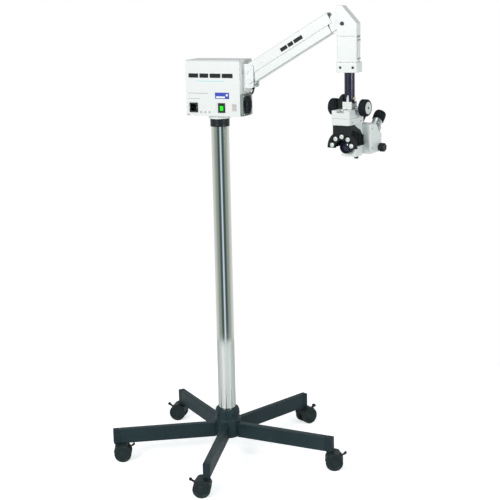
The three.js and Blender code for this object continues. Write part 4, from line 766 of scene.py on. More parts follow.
class Workpiece:
    """One visible piece while it is being made: closed shells in one mesh, each with its finish."""

    def __init__(self, place: Place) -> None:
        """Start an empty piece in a place's axes."""
        self.place = place
        self.mesh = bmesh.new()
        self.finishes: list[Finish] = []

    def _index(self, finish: Finish) -> int:
        """The material index of a finish on this piece."""
        if finish not in self.finishes:
            self.finishes.append(finish)
        return self.finishes.index(finish)

    def _keep(self, shell: bmesh.types.BMesh, matrix: Matrix, finish: Finish) -> "Workpiece":
        """Add a finished shell to the piece.

        Args:
            shell: the shell, which is used up.
            matrix: where it goes in the CAD frame.
            finish: its finish.

        Returns:
            The workpiece.
        """
        index = self._index(finish)
        for face in shell.faces:
            face.material_index = index
        bmesh.ops.transform(shell, matrix=matrix, verts=shell.verts)
        bmesh.ops.recalc_face_normals(shell, faces=shell.faces)
        data = bpy.data.meshes.new("shell")
        shell.to_mesh(data)
        shell.free()
        self.mesh.from_mesh(data)
        bpy.data.meshes.remove(data)
        return self

    def turned(
        self, profile: Sequence[Point], finish: Finish, *, at: Triple = (0.0, 0.0, 0.0), axis: str = "z",
        round_by: float = 0.0, steps: int = 72, facets: dict[int, int] | None = None,
    ) -> "Workpiece":
        """Add a body of revolution.

        Args:
            profile: radius and height points, counter-clockwise, closed or from axis to axis.
            finish: its finish.
            at: where its origin lies, in the place's axes.
            axis: the local axis it is turned about.
            round_by: the radius that its corners are rounded by.
            steps: how many steps go round.
            facets: profile points whose ring is a regular polygon, with its number of sides.

        Returns:
            The workpiece.
        """
        open_ends = profile[0][0] == 0.0 and profile[-1][0] == 0.0
        points = rounded(profile, round_by, closed=not open_ends)
        sides_of = facets or {}
        shell = bmesh.new()
        rings = []
        for index, (radius, height) in enumerate(points):
            if radius <= 1e-9:
                rings.append([shell.verts.new((0.0, 0.0, height))])
                continue
            ring = []
            for k in range(steps):
                angle = FULL_TURN * k / steps
                reach = radius
                if index in sides_of:
                    part = FULL_TURN / sides_of[index]
                    reach = radius / math.cos((angle % part) - part / 2) * math.cos(part / 2)
                ring.append(shell.verts.new((reach * math.cos(angle), reach * math.sin(angle), height)))
            rings.append(ring)
        for low, high in zip(rings, rings[1:] if open_ends else rings[1:] + rings[:1]):
            for k in range(steps):
                corners = [
                    low[k % len(low)], low[(k + 1) % len(low)],
                    high[(k + 1) % len(high)], high[k % len(high)],
                ]
                distinct = list(dict.fromkeys(corners))
                if len(distinct) > 2:
                    shell.faces.new(distinct)
        return self._keep(shell, self.place.matrix @ Matrix.Translation(at) @ AXES[axis], finish)

    def plate(
        self, outline: Sequence[Point], low: float, high: float, finish: Finish, *,
        axis: str = "z", edge: float = 0.0, facets: int = 2,
    ) -> "Workpiece":
        """Add an extruded outline.

        Args:
            outline: points across the axis: (x, y), (y, z) along X or (x, z) along Y.
            low: where it starts along the axis.
            high: where it ends.
            finish: its finish.
            axis: the local axis it is extruded along.
            edge: the width of its rounded edges.
            facets: how many facets round each of them.

        Returns:
            The workpiece.
        """
        shell = bmesh.new()
        outline = [(second, first) for first, second in outline] if axis == "y" else outline
        bottom = [shell.verts.new((x, y, low)) for x, y in outline]
        top = [shell.verts.new((x, y, high)) for x, y in outline]
        shell.faces.new(list(reversed(bottom)))
        shell.faces.new(top)
        count = len(outline)
        for k in range(count):
            following = (k + 1) % count
            shell.faces.new([bottom[k], bottom[following], top[following], top[k]])
        self.soften(shell, edge, facets)
        return self._keep(shell, self.place.matrix @ AXES[axis], finish)

    def block(
        self, low: Sequence[float], high: Sequence[float], finish: Finish, edge: float = 0.0
    ) -> "Workpiece":
        """Add a box between two local corners."""
        return self.plate(rectangle(low[0], high[0], low[1], high[1]), low[2], high[2], finish, edge=edge)

    def cad(self, node: str, finish: Finish, edge: float) -> "Workpiece":
        """Add a refined copy of a CAD node: its facets merged and its edges rounded.

        Args:
            node: the CAD node.
            finish: its finish.
            edge: the width of its rounded edges.

        Returns:
            The workpiece.
        """
        shell = bmesh.new()
        shell.from_mesh(frame["nodes"][node].data)
        bmesh.ops.remove_doubles(shell, verts=shell.verts, dist=WELD_GAP)
        bmesh.ops.dissolve_limit(shell, angle_limit=FLAT_ANGLE, verts=shell.verts, edges=shell.edges)
        self.soften(shell, edge)
        return self._keep(shell, Matrix.Identity(4), finish)

    def tube(self, points: Sequence[Vector], radius: float, finish: Finish, sides: int = 16) -> "Workpiece":
        """Add a round tube with closed ends.

        Args:
            points: the local points that its middle runs through.
            radius: its radius.
            finish: its finish.
            sides: how many sides it has.

        Returns:
            The workpiece.
        """
        shell = bmesh.new()
        rings, side = [], Vector((0.0, 1.0, 0.0))
        for k, point in enumerate(points):
            ahead = (points[min(k + 1, len(points) - 1)] - points[max(k - 1, 0)]).normalized()
            side = (side - ahead * side.dot(ahead)).normalized()
            other = ahead.cross(side)
            turns = [FULL_TURN * j / sides for j in range(sides)]
            spokes = [side * math.cos(a) + other * math.sin(a) for a in turns]
            rings.append([shell.verts.new(point + spoke * radius) for spoke in spokes])
        for low, high in zip(rings, rings[1:]):
            for j in range(sides):
                following = (j + 1) % sides
                shell.faces.new([low[j], low[following], high[following], high[j]])
        shell.faces.new(list(reversed(rings[0])))
        shell.faces.new(rings[-1])
        return self._keep(shell, self.place.matrix, finish)

    def rod(
        self, radius: float, low: float, high: float, finish: Finish, *, steps: int = 48, **settings: object
    ) -> "Workpiece":
        """Add a plain solid rod, with the settings that turned takes."""
        profile = [(0.0, low), (radius, low), (radius, high), (0.0, high)]
        return self.turned(profile, finish, steps=steps, **settings)

    def sleeve(
        self, bore: float, radius: float, ends: Point, finish: Finish, *, steps: int = 48, **settings: object
    ) -> "Workpiece":
        """Add a plain tube between two heights, with the settings that turned takes."""
        profile = [(bore, ends[0]), (radius, ends[0]), (radius, ends[1]), (bore, ends[1])]
        return self.turned(profile, finish, steps=steps, **settings)

    def copies(self, made: bpy.types.Mesh, finish: Finish) -> "Workpiece":
        """Add a mesh that a Geometry Nodes tree made.

        Args:
            made: the mesh in the place's axes, which is used up.
            finish: its finish.

        Returns:
            The workpiece.
        """
        shell = bmesh.new()
        shell.from_mesh(made)
        bpy.data.meshes.remove(made)
        return self._keep(shell, self.place.matrix, finish)

    def screwed(self, screw: "Screw", spots: Sequence[Spot], finish: Finish) -> "Workpiece":
        """Add copies of a screw, each with its seat and the direction it faces."""
        return self.copies(screw.at(spots, finish), finish)

    def ringed(
        self, copy: "Workpiece", finish: Finish, *, count: int, radius: float, start: float = 0.0,
        step: float | None = None,
    ) -> "Workpiece":
        """Add copies of a shape round the place's Z axis.

        Args:
            copy: the shape, which is used up.
            finish: its finish.
            count: how many there are.
            radius: how far out they stand.
            start: the first one's angle.
            step: the angle from one to the next, or None to share out a full turn.

        Returns:
            The workpiece.
        """
        made = REPEATS.make(
            REPEATS.ring, finish, copy=copy, count=count, radius=radius, start=start,
            step=step or FULL_TURN / count,
        )
        return self.copies(made, finish)

    def ribbed(
        self, radius: float, low: float, high: float, count: int, depth: float, finish: Finish
    ) -> "Workpiece":
        """Add grip ribs round a knob whose axis is the place's Z.

        Args:
            radius: the knob's radius.
            low: where the ribs start along Z.
            high: where they end.
            count: how many there are.
            depth: how far they stand out.
            finish: their finish.

        Returns:
            The workpiece.
        """
        half = math.pi * radius / count * 0.52
        section = [(-depth, -half), (depth * 0.5, -half), (depth, 0.0), (depth * 0.5, half), (-depth, half)]
        rib = Workpiece(AT_ORIGIN).plate(section, low, high, finish)
        return self.ringed(rib, finish, count=count, radius=radius)

    def absorb(self, other: "Workpiece") -> "Workpiece":
        """Take over the shells of another workpiece, finishes and all.

        Args:
            other: that workpiece, which is used up.

        Returns:
            The workpiece.
        """
        indexes = [self._index(finish) for finish in other.finishes]
        for face in other.mesh.faces:
            face.material_index = indexes[face.material_index]
        data = bpy.data.meshes.new("shell")
        other.mesh.to_mesh(data)
        other.mesh.free()
        self.mesh.from_mesh(data)
        bpy.data.meshes.remove(data)
        return self

    @staticmethod
    def soften(shell: bmesh.types.BMesh, edge: float, segments: int = 2) -> None:
        """Round a shell's sharp edges.

        Args:
            shell: the shell.
            edge: the width of the rounding, or 0 to leave it.
            segments: how many facets it has.
        """
        if edge <= 0.0:
            return
        shell.normal_update()
        sharp = [e for e in shell.edges if len(e.link_faces) == 2 and e.calc_face_angle(0.0) > BEVEL_ANGLE]
        bmesh.ops.bevel(
            shell, geom=sharp, offset=edge, segments=segments, profile=0.5, affect="EDGES",
            clamp_overlap=False,
        )

    def done(self, name: str, body: str, replaces: Sequence[str] = ()) -> Thing:
        """Finish the piece as an object that rides on a body.

        Args:
            name: its name.
            body: the CAD body it rides on.
            replaces: the CAD nodes that it stands for.

        Returns:
            The finished object, at the origin with its place in its mesh.
        """
        data = bpy.data.meshes.new(name)
        self.mesh.to_mesh(data)
        self.mesh.free()
        for finish in self.finishes:
            data.materials.append(PALETTE[finish])
        data.shade_smooth()
        data.set_sharp_from_angle(angle=SMOOTH_ANGLE)
        made = bpy.data.objects.new(name, data)
        bpy.context.collection.objects.link(made)
        normals = made.modifiers.new("even_normals", "WEIGHTED_NORMAL")
        normals.keep_sharp = True
        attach(made, body)
        if replaces:
            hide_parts(*replaces)
        log.info("%s: %d faces on %s", name, len(data.polygons), body)
        return made


# ---------------------------------------------------------------- repeated shapes by Geometry Nodes


class Repeats:
    """Geometry Nodes trees for what repeats: a ring, screws at points and a coil spring."""

    def __init__(self) -> None:
        """Build the trees."""
        self.ring = self._ring()
        self.spots = self._spots()
        self.coil = self._coil()

    @staticmethod
    def _realize(wire: Wiring, shape: Socket, start: Node, end: Node) -> None:
        """End a tree: make instances real and set their material.

        Args:
            wire: the tree's wiring.
            shape: the shape it has made.
            start: its group input.
            end: its group output.
        """
        real = wire.add("GeometryNodeRealizeInstances")
        paint = wire.add("GeometryNodeSetMaterial")
        wire.join(shape, real.inputs[0])
        wire.join(real.outputs[0], paint.inputs["Geometry"])
        wire.join(start.outputs["Finish"], paint.inputs["Material"])
        wire.join(paint.outputs[0], end.inputs["Shape"])

    def _ring(self) -> Tree:
        """Copies round an arc in the XY plane, each turned to face outwards."""
        tree, start, end = new_tree(
            "ring_of_copies", "GeometryNodeTree",
            {"Shape": Sockets.SHAPE, "Copy": Sockets.COPY, "Count": Sockets.COUNT, "Radius": Sockets.NUMBER,
             "Start": Sockets.NUMBER, "Step": Sockets.NUMBER, "Finish": Sockets.FINISH},
            {"Shape": Sockets.SHAPE},
        )
        wire = Wiring(tree)
        line = wire.add("GeometryNodeMeshLine")
        wire.join(start.outputs["Count"], line.inputs["Count"])
        index = wire.add("GeometryNodeInputIndex").outputs[0]
        angle = wire.math("ADD", start.outputs["Start"], wire.math("MULTIPLY", index, start.outputs["Step"]))
        spot = wire.add("ShaderNodeCombineXYZ")
        radius = start.outputs["Radius"]
        wire.join(wire.math("MULTIPLY", radius, wire.math("COSINE", angle)), spot.inputs[0])
        wire.join(wire.math("MULTIPLY", radius, wire.math("SINE", angle)), spot.inputs[1])
        spread = wire.add("GeometryNodeSetPosition")
        wire.join(line.outputs[0], spread.inputs["Geometry"])
        wire.join(spot.outputs[0], spread.inputs["Position"])
        turn = wire.add("ShaderNodeCombineXYZ")
        wire.join(angle, turn.inputs[2])
        self._place_copies(wire, spread.outputs[0], turn.outputs[0], start, end)
        return tree

    def _place_copies(self, wire: Wiring, points: Socket, turn: Socket, start: Node, end: Node) -> None:
        """Put a copy at each point and end the tree.

        Args:
            wire: the tree's wiring.
            points: where the copies go.
            turn: how each is turned.
            start: the tree's group input.
            end: its group output.
        """
        source = wire.add("GeometryNodeObjectInfo")
        wire.join(start.outputs["Copy"], source.inputs["Object"])
        placed = wire.add("GeometryNodeInstanceOnPoints")
        wire.join(points, placed.inputs["Points"])
        wire.join(source.outputs["Geometry"], placed.inputs["Instance"])
        wire.join(turn, placed.inputs["Rotation"])
        self._realize(wire, placed.outputs[0], start, end)

    def _spots(self) -> Tree:
        """Copies at a mesh's points, with their Z along the points' aim attribute."""
        tree, start, end = new_tree(
            "copies_at_spots", "GeometryNodeTree",
            {"Shape": Sockets.SHAPE, "Copy": Sockets.COPY, "Finish": Sockets.FINISH},
            {"Shape": Sockets.SHAPE},
        )
        wire = Wiring(tree)
        aim = wire.add("GeometryNodeInputNamedAttribute", data_type="FLOAT_VECTOR")
        aim.inputs["Name"].default_value = "aim"
        align = wire.add("FunctionNodeAlignRotationToVector", axis="Z")
        wire.join(aim.outputs["Attribute"], align.inputs["Vector"])
        self._place_copies(wire, start.outputs["Shape"], align.outputs[0], start, end)
        return tree

    def _coil(self) -> Tree:
        """A round-wire coil spring along Z."""
        tree, start, end = new_tree(
            "coil_spring", "GeometryNodeTree",
            {"Shape": Sockets.SHAPE, "Turns": Sockets.NUMBER, "Radius": Sockets.NUMBER,
             "Wire": Sockets.NUMBER, "Length": Sockets.NUMBER, "Finish": Sockets.FINISH},
            {"Shape": Sockets.SHAPE},
        )
        wire = Wiring(tree)
        spiral = wire.add("GeometryNodeCurveSpiral")
        spiral.inputs["Resolution"].default_value = 14
        wire.join(start.outputs["Turns"], spiral.inputs["Rotations"])
        wire.join(start.outputs["Radius"], spiral.inputs["Start Radius"])
        wire.join(start.outputs["Radius"], spiral.inputs["End Radius"])
        wire.join(start.outputs["Length"], spiral.inputs["Height"])
        section = wire.add("GeometryNodeCurvePrimitiveCircle")
        section.inputs["Resolution"].default_value = 8
        wire.join(start.outputs["Wire"], section.inputs["Radius"])
        swept = wire.add("GeometryNodeCurveToMesh")
        swept.inputs["Fill Caps"].default_value = True
        wire.join(spiral.outputs[0], swept.inputs["Curve"])
        wire.join(section.outputs[0], swept.inputs["Profile Curve"])
        self._realize(wire, swept.outputs[0], start, end)
        return tree

    def make(
        self, tree: Tree, finish: Finish, base: bpy.types.Mesh | None = None,
        copy: "Workpiece | None" = None, **values: object,
    ) -> bpy.types.Mesh:
        """Run a tree once.

        Args:
            tree: the tree.
            finish: the material that it sets.
            base: the mesh it starts from.
            copy: the shape that it repeats, which is used up.
            values: its other inputs by name.

        Returns:
            The plain mesh that it makes.
        """
        start = base or bpy.data.meshes.new("start")
        carrier = bpy.data.objects.new("carrier", start)
        bpy.context.collection.objects.link(carrier)
        given = {name.replace("_", " ").title(): value for name, value in values.items()}
        given["Finish"] = PALETTE[finish]
        source = None
        if copy is not None:
            data = bpy.data.meshes.new("copy")
            copy.mesh.to_mesh(data)
            copy.mesh.free()
            source = bpy.data.objects.new("copy", data)
            bpy.context.collection.objects.link(source)
            given["Copy"] = source
        modifier = carrier.modifiers.new("repeat", "NODES")
        modifier.node_group = tree
        for item in tree.interface.items_tree:
            if item.in_out == "INPUT" and item.name in given:
                modifier[item.identifier] = given[item.name]
        bpy.context.view_layer.update()
        ready = carrier.evaluated_get(bpy.context.evaluated_depsgraph_get())
        made = bpy.data.meshes.new_from_object(ready)
        bpy.data.objects.remove(carrier)
        bpy.data.meshes.remove(start)
        if source is not None:
            bpy.data.objects.remove(source)
        return made


REPEATS = Repeats()


@dataclass(frozen=True)
class Screw:
    """A socket-head or button-head screw, its head standing on its seat along Z."""

    radius: float = 0.0028
    height: float = 0.0016
    socket: float = 0.0014
    steps: int = 24
    sunk: float = 0.0002

    def shape(self) -> Workpiece:
        """The screw's head, with a hexagon socket."""
        edge, floor = self.radius * 0.16, self.height * 0.35
        profile = [
            (0.0, -self.sunk), (self.radius, -self.sunk), (self.radius, self.height - edge),
            (self.radius - edge, self.height), (self.socket, self.height), (self.socket, floor), (0.0, floor),
        ]
        return Workpiece(AT_ORIGIN).turned(profile, STEEL, steps=self.steps, facets={4: 6, 5: 6})

    def at(self, spots: Sequence[Spot], finish: Finish) -> bpy.types.Mesh:
        """Place copies of the screw.

        Args:
            spots: each screw's seat and the direction it faces, in the workpiece's axes.
            finish: the screws' finish.

        Returns:
            One mesh that holds them all.
        """
        base = bpy.data.meshes.new("spots")
        base.from_pydata([tuple(seat) for seat, _ in spots], [], [])
        aims = base.attributes.new("aim", "FLOAT_VECTOR", "POINT")
        for item, (_, aim) in zip(aims.data, spots):
            item.vector = aim
        return REPEATS.make(REPEATS.spots, finish, base=base, copy=self.shape())


# ---------------------------------------------------------------- sub-assemblies


@dataclass
class Section:
    """A sub-assembly of the stand: it builds its pieces and keeps them."""

    pieces: list[Thing] = field(default_factory=list, init=False)

    def keep(
        self, piece: Workpiece, name: str, body: str, slot: str, replaces: Sequence[str] = ()
    ) -> Thing:
        """Finish a piece and remember it.

        Args:
            piece: the piece.
            name: its name.
            body: the CAD body it rides on.
            slot: the record's material slot; not used.
            replaces: the CAD nodes that it stands for.

        Returns:
            The finished object.
        """
        made = piece.done(name, body, replaces)
        self.pieces.append(made)
        return made

    def refined(self, node: str, body: str, finish: Finish, edge: float) -> Thing:
        """Stand a refined copy in for a CAD node."""
        piece = Workpiece(AT_ORIGIN).cad(node, finish, edge)
        return self.keep(piece, f"{node}_shell", body, finish.slot, [node])

    def build(self) -> None:
        """Build every piece of the sub-assembly."""
        raise NotImplementedError


@dataclass
class StarBase(Section):
    """The hub and its five legs."""

    leg_heading: float = 212.5
    cap_length: float = 0.020
    seam: float = 0.0007
    corner: float = 0.0024

    def build(self) -> None:
        """Build the hub, then each leg with its end cap."""
        self._hub()
        for k in range(5):
            self._leg(k + 1, math.radians(self.leg_heading + 72 * k))

    def _hub(self) -> None:
        """The cast hub, flared at the legs, with a stepped rim and clamp screws."""
        low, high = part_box("base_hub")
        place = upright(COLUMN_FOOT)
        flare = (high.x - low.x) / 2
        wide, top = flare - 3 * MM, high.z
        bore = COLUMN_RADIUS + 0.35 * MM
        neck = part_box("base_leg_1")[1].z + 12 * MM
        profile = [
            (0.0, low.z), (wide, low.z), (flare, low.z + 3 * MM), (flare, neck - 3 * MM), (wide, neck),
            (wide, top - 7 * MM), (wide - 1.2 * MM, top - 6 * MM), (wide - 1.2 * MM, top - 3 * MM),
            (wide - 3.5 * MM, top), (bore, top), (bore, low.z + 6 * MM), (0.0, low.z + 6 * MM),
        ]
        hub = Workpiece(place).turned(profile, BASE_ENAMEL, round_by=1.4 * MM, steps=120)
        screws = []
        for k in range(5):
            angle = math.radians(self.leg_heading + 36 + 72 * k)
            aim = Vector((math.cos(angle), math.sin(angle), 0.0))
            screws.append((aim * (wide - 0.2 * MM) + Vector((0, 0, (neck + top) / 2 - 2 * MM)), aim))
        hub.screwed(Screw(3.4 * MM, 1.0 * MM, 1.7 * MM), screws, BLACK_OXIDE)
        self.keep(hub, "hub_casting", "base", "base_enamel", ["base_hub"])
        facing = math.radians(-58)
        spot = place.moved(wide * math.cos(facing) * 0.985, wide * math.sin(facing) * 0.985, top - 1.6 * MM)
        dot = Workpiece(spot).turned(
            [(0.0, 0.0), (1.6 * MM, 0.0), (1.6 * MM, 1.1 * MM), (0.0, 1.5 * MM)], STEEL, steps=24,
        )
        self.keep(dot, "hub_grub_screw", "base", "bare_steel")

    def _leg(self, number: int, heading: float) -> None:
        """One leg: its tube, the seam and the end cap.

        Args:
            number: the leg's number, from 1.
            heading: the direction it points in, in radians.
        """
        node = f"base_leg_{number}"
        place = Place.from_xz(COLUMN_FOOT, (math.cos(heading), math.sin(heading), 0), (0, 0, 1))
        low, high = place.box(node)
        split = high.x - self.cap_length
        section = rounded(rectangle(low.y, high.y, low.z, high.z), self.corner, 4)
        seam = self.seam
        inner = rounded(rectangle(low.y + seam, high.y - seam, low.z + seam, high.z - seam), self.corner, 4)
        leg = Workpiece(place)
        leg.plate(section, low.x, split - seam, BASE_ENAMEL, axis="x", edge=0.5 * MM)
        leg.plate(inner, split - 2 * seam, split + 2 * seam, BLACK_PLASTIC, axis="x")
        leg.plate(section, split, high.x, CAP_PLASTIC, axis="x", edge=1.3 * MM)
        stem = Vector((high.x - 12 * MM, (low.y + high.y) / 2, low.z))
        leg.screwed(Screw(6.2 * MM, 1.0 * MM, 3.0 * MM), [(stem, (0, 0, -1))], BLACK_OXIDE)
        self.keep(leg, f"leg_{number}_tube", "base", "base_enamel", [node])


@dataclass
class Casters(Section):
    """Five twin-wheel casters with hoods and brake pedals."""

    rib_count: int = 8
    rib_circle: float = 0.012
    wheel_width: float = 0.017

    def build(self) -> None:
        """Build each caster."""
        for number in range(1, 6):
            axle = Vector(JOINTS[f"caster_{number}_roll"]["pos_m"])
            swivel = Vector(JOINTS[f"caster_{number}_swivel"]["pos_m"])
            place = Place.from_xz(axle, (axle.x - swivel.x, axle.y - swivel.y, 0.0), (0, 0, 1))
            self.refined(f"caster_hood_{number}", f"caster_{number}", CASTER_NYLON, 0.5 * MM)
            self.refined(f"caster_brake_{number}", f"brake_{number}", BLACK_PLASTIC, 0.4 * MM)
            self._wheels(number, place)

    def _wheels(self, number: int, place: Place) -> None:
        """The pair of wheels: tyre, web with ribs, hub cap and axle end.

        Args:
            number: the caster's number, from 1.
            place: the axle, with X away from the stem.
        """
        high = place.box(f"caster_wheels_{number}")[1]
        radius, outer = high.z, high.y
        inner = outer - self.wheel_width
        pair = Workpiece(place)
        for side in (-1, 1):
            to_axle = place.matrix @ Matrix.Diagonal((1.0, side, 1.0, 1.0)) @ AXES["y"]
            wheel = Workpiece(AT_ORIGIN)
            wheel.turned(
                [(radius - 4 * MM, inner), (radius - 1 * MM, inner), (radius, inner + 2 * MM),
                 (radius, outer - 2 * MM), (radius - 1 * MM, outer - 0.4 * MM),
                 (radius - 4 * MM, outer - 0.4 * MM)],
                TREAD, round_by=0.8 * MM, steps=64,
            )
            wheel.turned(
                [(0.0, inner), (radius - 3.8 * MM, inner), (radius - 3.8 * MM, outer),
                 (radius - 6 * MM, outer),
                 (radius - 8 * MM, outer - 1.6 * MM), (9.5 * MM, outer - 1.6 * MM),
                 (8.5 * MM, outer - 0.2 * MM),
                 (4.0 * MM, outer - 0.2 * MM), (3.4 * MM, outer - 1.2 * MM), (0.0, outer - 1.2 * MM)],
                CASTER_NYLON, round_by=0.5 * MM, steps=64,
            )
            rib = Workpiece(AT_ORIGIN).block(
                (9.0 * MM - self.rib_circle, -0.7 * MM, outer - 1.8 * MM),
                (5.5 * MM, 0.7 * MM, outer - 0.5 * MM), CASTER_NYLON,
            )
            wheel.ringed(rib, CASTER_NYLON, count=self.rib_count, radius=self.rib_circle, start=0.2)
            bmesh.ops.transform(wheel.mesh, matrix=to_axle, verts=wheel.mesh.verts)
            if side < 0:
                bmesh.ops.reverse_faces(wheel.mesh, faces=wheel.mesh.faces)
            pair.absorb(wheel)
        node = f"caster_wheels_{number}"
        self.keep(pair, f"caster_{number}_tyres", f"wheels_{number}", "caster_nylon", [node])


@dataclass
class Column(Section):
    """The chromed column and the collar that the box turns on."""

    wall: float = 0.0025

    def build(self) -> None:
        """Build the column and the collar."""
        place = upright(COLUMN_FOOT)
        low, high = place.box("column")
        radius = high.x
        tube = Workpiece(place).sleeve(
            radius - self.wall, radius, (low.z, high.z), CHROME, round_by=0.5 * MM, steps=180,
        )
        self.keep(tube, "column_tube", "base", "column_chrome", ["column"])
        low, high = place.box("column_collar")
        ring, bore, waist = high.x, radius + 0.1 * MM, (low.z + high.z) / 2
        collar = Workpiece(place).turned(
            [(bore, low.z), (ring - 0.4 * MM, low.z), (ring, low.z + 1.5 * MM), (ring, waist - 0.8 * MM),
             (ring - 0.5 * MM, waist), (ring, waist + 0.8 * MM), (ring, high.z - 0.5 * MM),
             (ring - 0.5 * MM, high.z), (bore, high.z)],
            BLACK_PLASTIC, round_by=0.3 * MM, steps=120,
        )
        self.keep(collar, "collar_sleeve", "base", "black_plastic", ["column_collar"])


@dataclass(frozen=True)
class Print:
    """A printed or stuck-on mark on the box's front, in millimetres from the box's origin."""

    x: Point
    z: Point
    finish: Finish
    corner: float = 0.3
    thickness: float = 0.12


@dataclass
class PowerBox(Section):
    """The white sheet-metal box with its inlet, switch, fan and printing."""

    marks: tuple[Print, ...] = (
        *(Print(ends, (106, 118), INK_BLACK, 1.2) for ends in ((-73, -43), (-39, -12), (-8, 25), (29, 62))),
        Print((-49, 36), (96.2, 97.8), INK_CYAN),
        Print((-76, -14), (62.2, 64.0), INK_GREY),
        Print((-76, -39), (47.4, 49.0), INK_GREY),
        Print((7, 50), (48.5, 66), LABEL_BLUE, 1.0),
        Print((10, 37), (50.5, 55.5), LABEL_WHITE, 0.4, 0.2),
        Print((40, 46), (56, 62), LABEL_WHITE, 1.5, 0.2),
        Print((58, 72), (15, 35), LABEL_BUFF, 0.8),
        *(Print((60, 70), ends, INK_GREY, 0.3, 0.2) for ends in ((29, 32), (24, 25), (20, 21))),
        *(Print((start, start + 6), (8, 14), INK_GREY, 2.9) for start in (-40, -27, -14)),
        Print((-80, -72), (3.0, 4.4), INK_BLACK),
    )
    guard_wire: float = 0.0007

    def build(self) -> None:
        """Build the box from its chassis out."""
        self.refined("box_chassis", "power_box", WHITE_ENAMEL, 0.35 * MM)
        self.refined("box_cover", "power_box", WHITE_ENAMEL, 0.7 * MM)
        self.refined("power_inlet", "power_box", BLACK_PLASTIC, 0.3 * MM)
        self.refined("switch_frame", "power_box", BLACK_PLASTIC, 0.4 * MM)
        self.refined("power_rocker", "rocker", GREEN_LAMP, 0.5 * MM)
        self.refined("transformer", "power_box", LAMINATIONS, 0.4 * MM)
        self._winding()
        self._printing()
        self._screws()
        self._flange()
        self._fan()

    def _printing(self) -> None:
        """The marks on the front panel, as plain blocks with no lettering."""
        front = BOX_PLACE.box("box_chassis")[0].y
        print_work = Workpiece(BOX_PLACE)
        for mark in self.marks:
            (x0, x1), (z0, z1) = mark.x, mark.z
            shape = rounded(rectangle(x0 * MM, x1 * MM, z0 * MM, z1 * MM), mark.corner * MM, 3)
            print_work.plate(shape, front - mark.thickness * MM, front + 0.05 * MM, mark.finish, axis="y")
        self.keep(print_work, "front_panel_marks", "power_box", "white_enamel")

    def _screws(self) -> None:
        """Cover screws on both sides, inlet screws and back-panel screws."""
        low, high = BOX_PLACE.box("box_cover")
        middle, reach = (low.z + high.z) / 2, (high.y - low.y) / 2
        spots = [((low.x, y, z), (-1, 0, 0)) for y in (-reach * 0.8, reach * 0.8) for z in (0.020, 0.136)]
        spots += [((high.x, reach * 0.84, z), (1, 0, 0)) for z in (0.020, 0.136)]
        levels = (0.014, middle, 0.138)
        spots += [((x, reach, z), (0, 1, 0)) for x in (low.x * 0.9, high.x * 0.9) for z in levels]
        inlet_low, inlet_high = BOX_PLACE.box("power_inlet")
        across = (inlet_low.z + inlet_high.z) / 2
        inlet_sides = (inlet_low.x + 1.6 * MM, inlet_high.x - 1.6 * MM)
        spots += [((x, inlet_low.y, across), (0, -1, 0)) for x in inlet_sides]
        screws = Workpiece(BOX_PLACE)
        screws.screwed(Screw(2.9 * MM, 1.3 * MM, 1.4 * MM), spots[:-2], STEEL)
        screws.screwed(Screw(1.1 * MM, 0.5 * MM, 0.5 * MM), spots[-2:], STEEL)
        self.keep(screws, "box_screws", "power_box", "bare_steel")

    def _winding(self) -> None:
        """The transformer's winding, round the middle limb of its core."""
        place = joint_place("box_swivel")
        low, high = place.box("transformer")
        middle, quarter = (low.x + high.x) / 2, (high.x - low.x) / 4
        over, yoke = 0.4 * MM, 7.3 * MM
        sides = rectangle(middle - quarter - over, middle + quarter + over, low.y - over, high.y + over)
        coil = Workpiece(place)
        coil.plate(rounded(sides, 4 * MM, 6), low.z + yoke, high.z - yoke, WINDING, edge=0.8 * MM)
        self.keep(coil, "transformer_winding", "power_box", "transformer_core")

    def _flange(self) -> None:
        """A fine bearing ring under the box's flange."""
        ring = Workpiece(BOX_PLACE).sleeve(
            25.9 * MM, 29.5 * MM, (-9.6 * MM, -9.35 * MM), BLACK_PLASTIC, steps=96,
        )
        self.keep(ring, "turntable_washer", "power_box", "black_plastic")

    def _fan(self) -> None:
        """The fan's frame, guard and rotor."""
        self.refined("fan_frame", "power_box", FAN_CASTING, 0.5 * MM)
        self.refined("fan_blades", "fan_rotor", BLACK_PLASTIC, 0.3 * MM)
        low, high = BOX_PLACE.box("fan_frame")
        centre = BOX_PLACE.moved(high.x, (low.y + high.y) / 2, (low.z + high.z) / 2)
        guard = Workpiece(Place.from_xz(centre.origin, (0, 1, 0), (1, 0, 0)))
        for radius in (9, 14, 19, 24, 28):
            guard.turned(arc((radius * MM, 1.1 * MM), self.guard_wire, 0, 315, 7), BLACK_OXIDE, steps=72)
        ends = [Vector((x * MM, 0, 0.4 * MM)) for x in (-12, 12)]
        spoke = Workpiece(AT_ORIGIN).tube(ends, self.guard_wire, STEEL, 8)
        guard.ringed(spoke, BLACK_OXIDE, count=4, radius=19 * MM, start=math.pi / 4)
        spots = [((x * MM, y * MM, 0.0), (0, 0, 1)) for x in (-25, 25) for y in (-25, 25)]
        guard.screwed(Screw(2.8 * MM, 1.3 * MM, 1.3 * MM), spots, STEEL)
        self.keep(guard, "fan_guard", "power_box", "bare_steel")


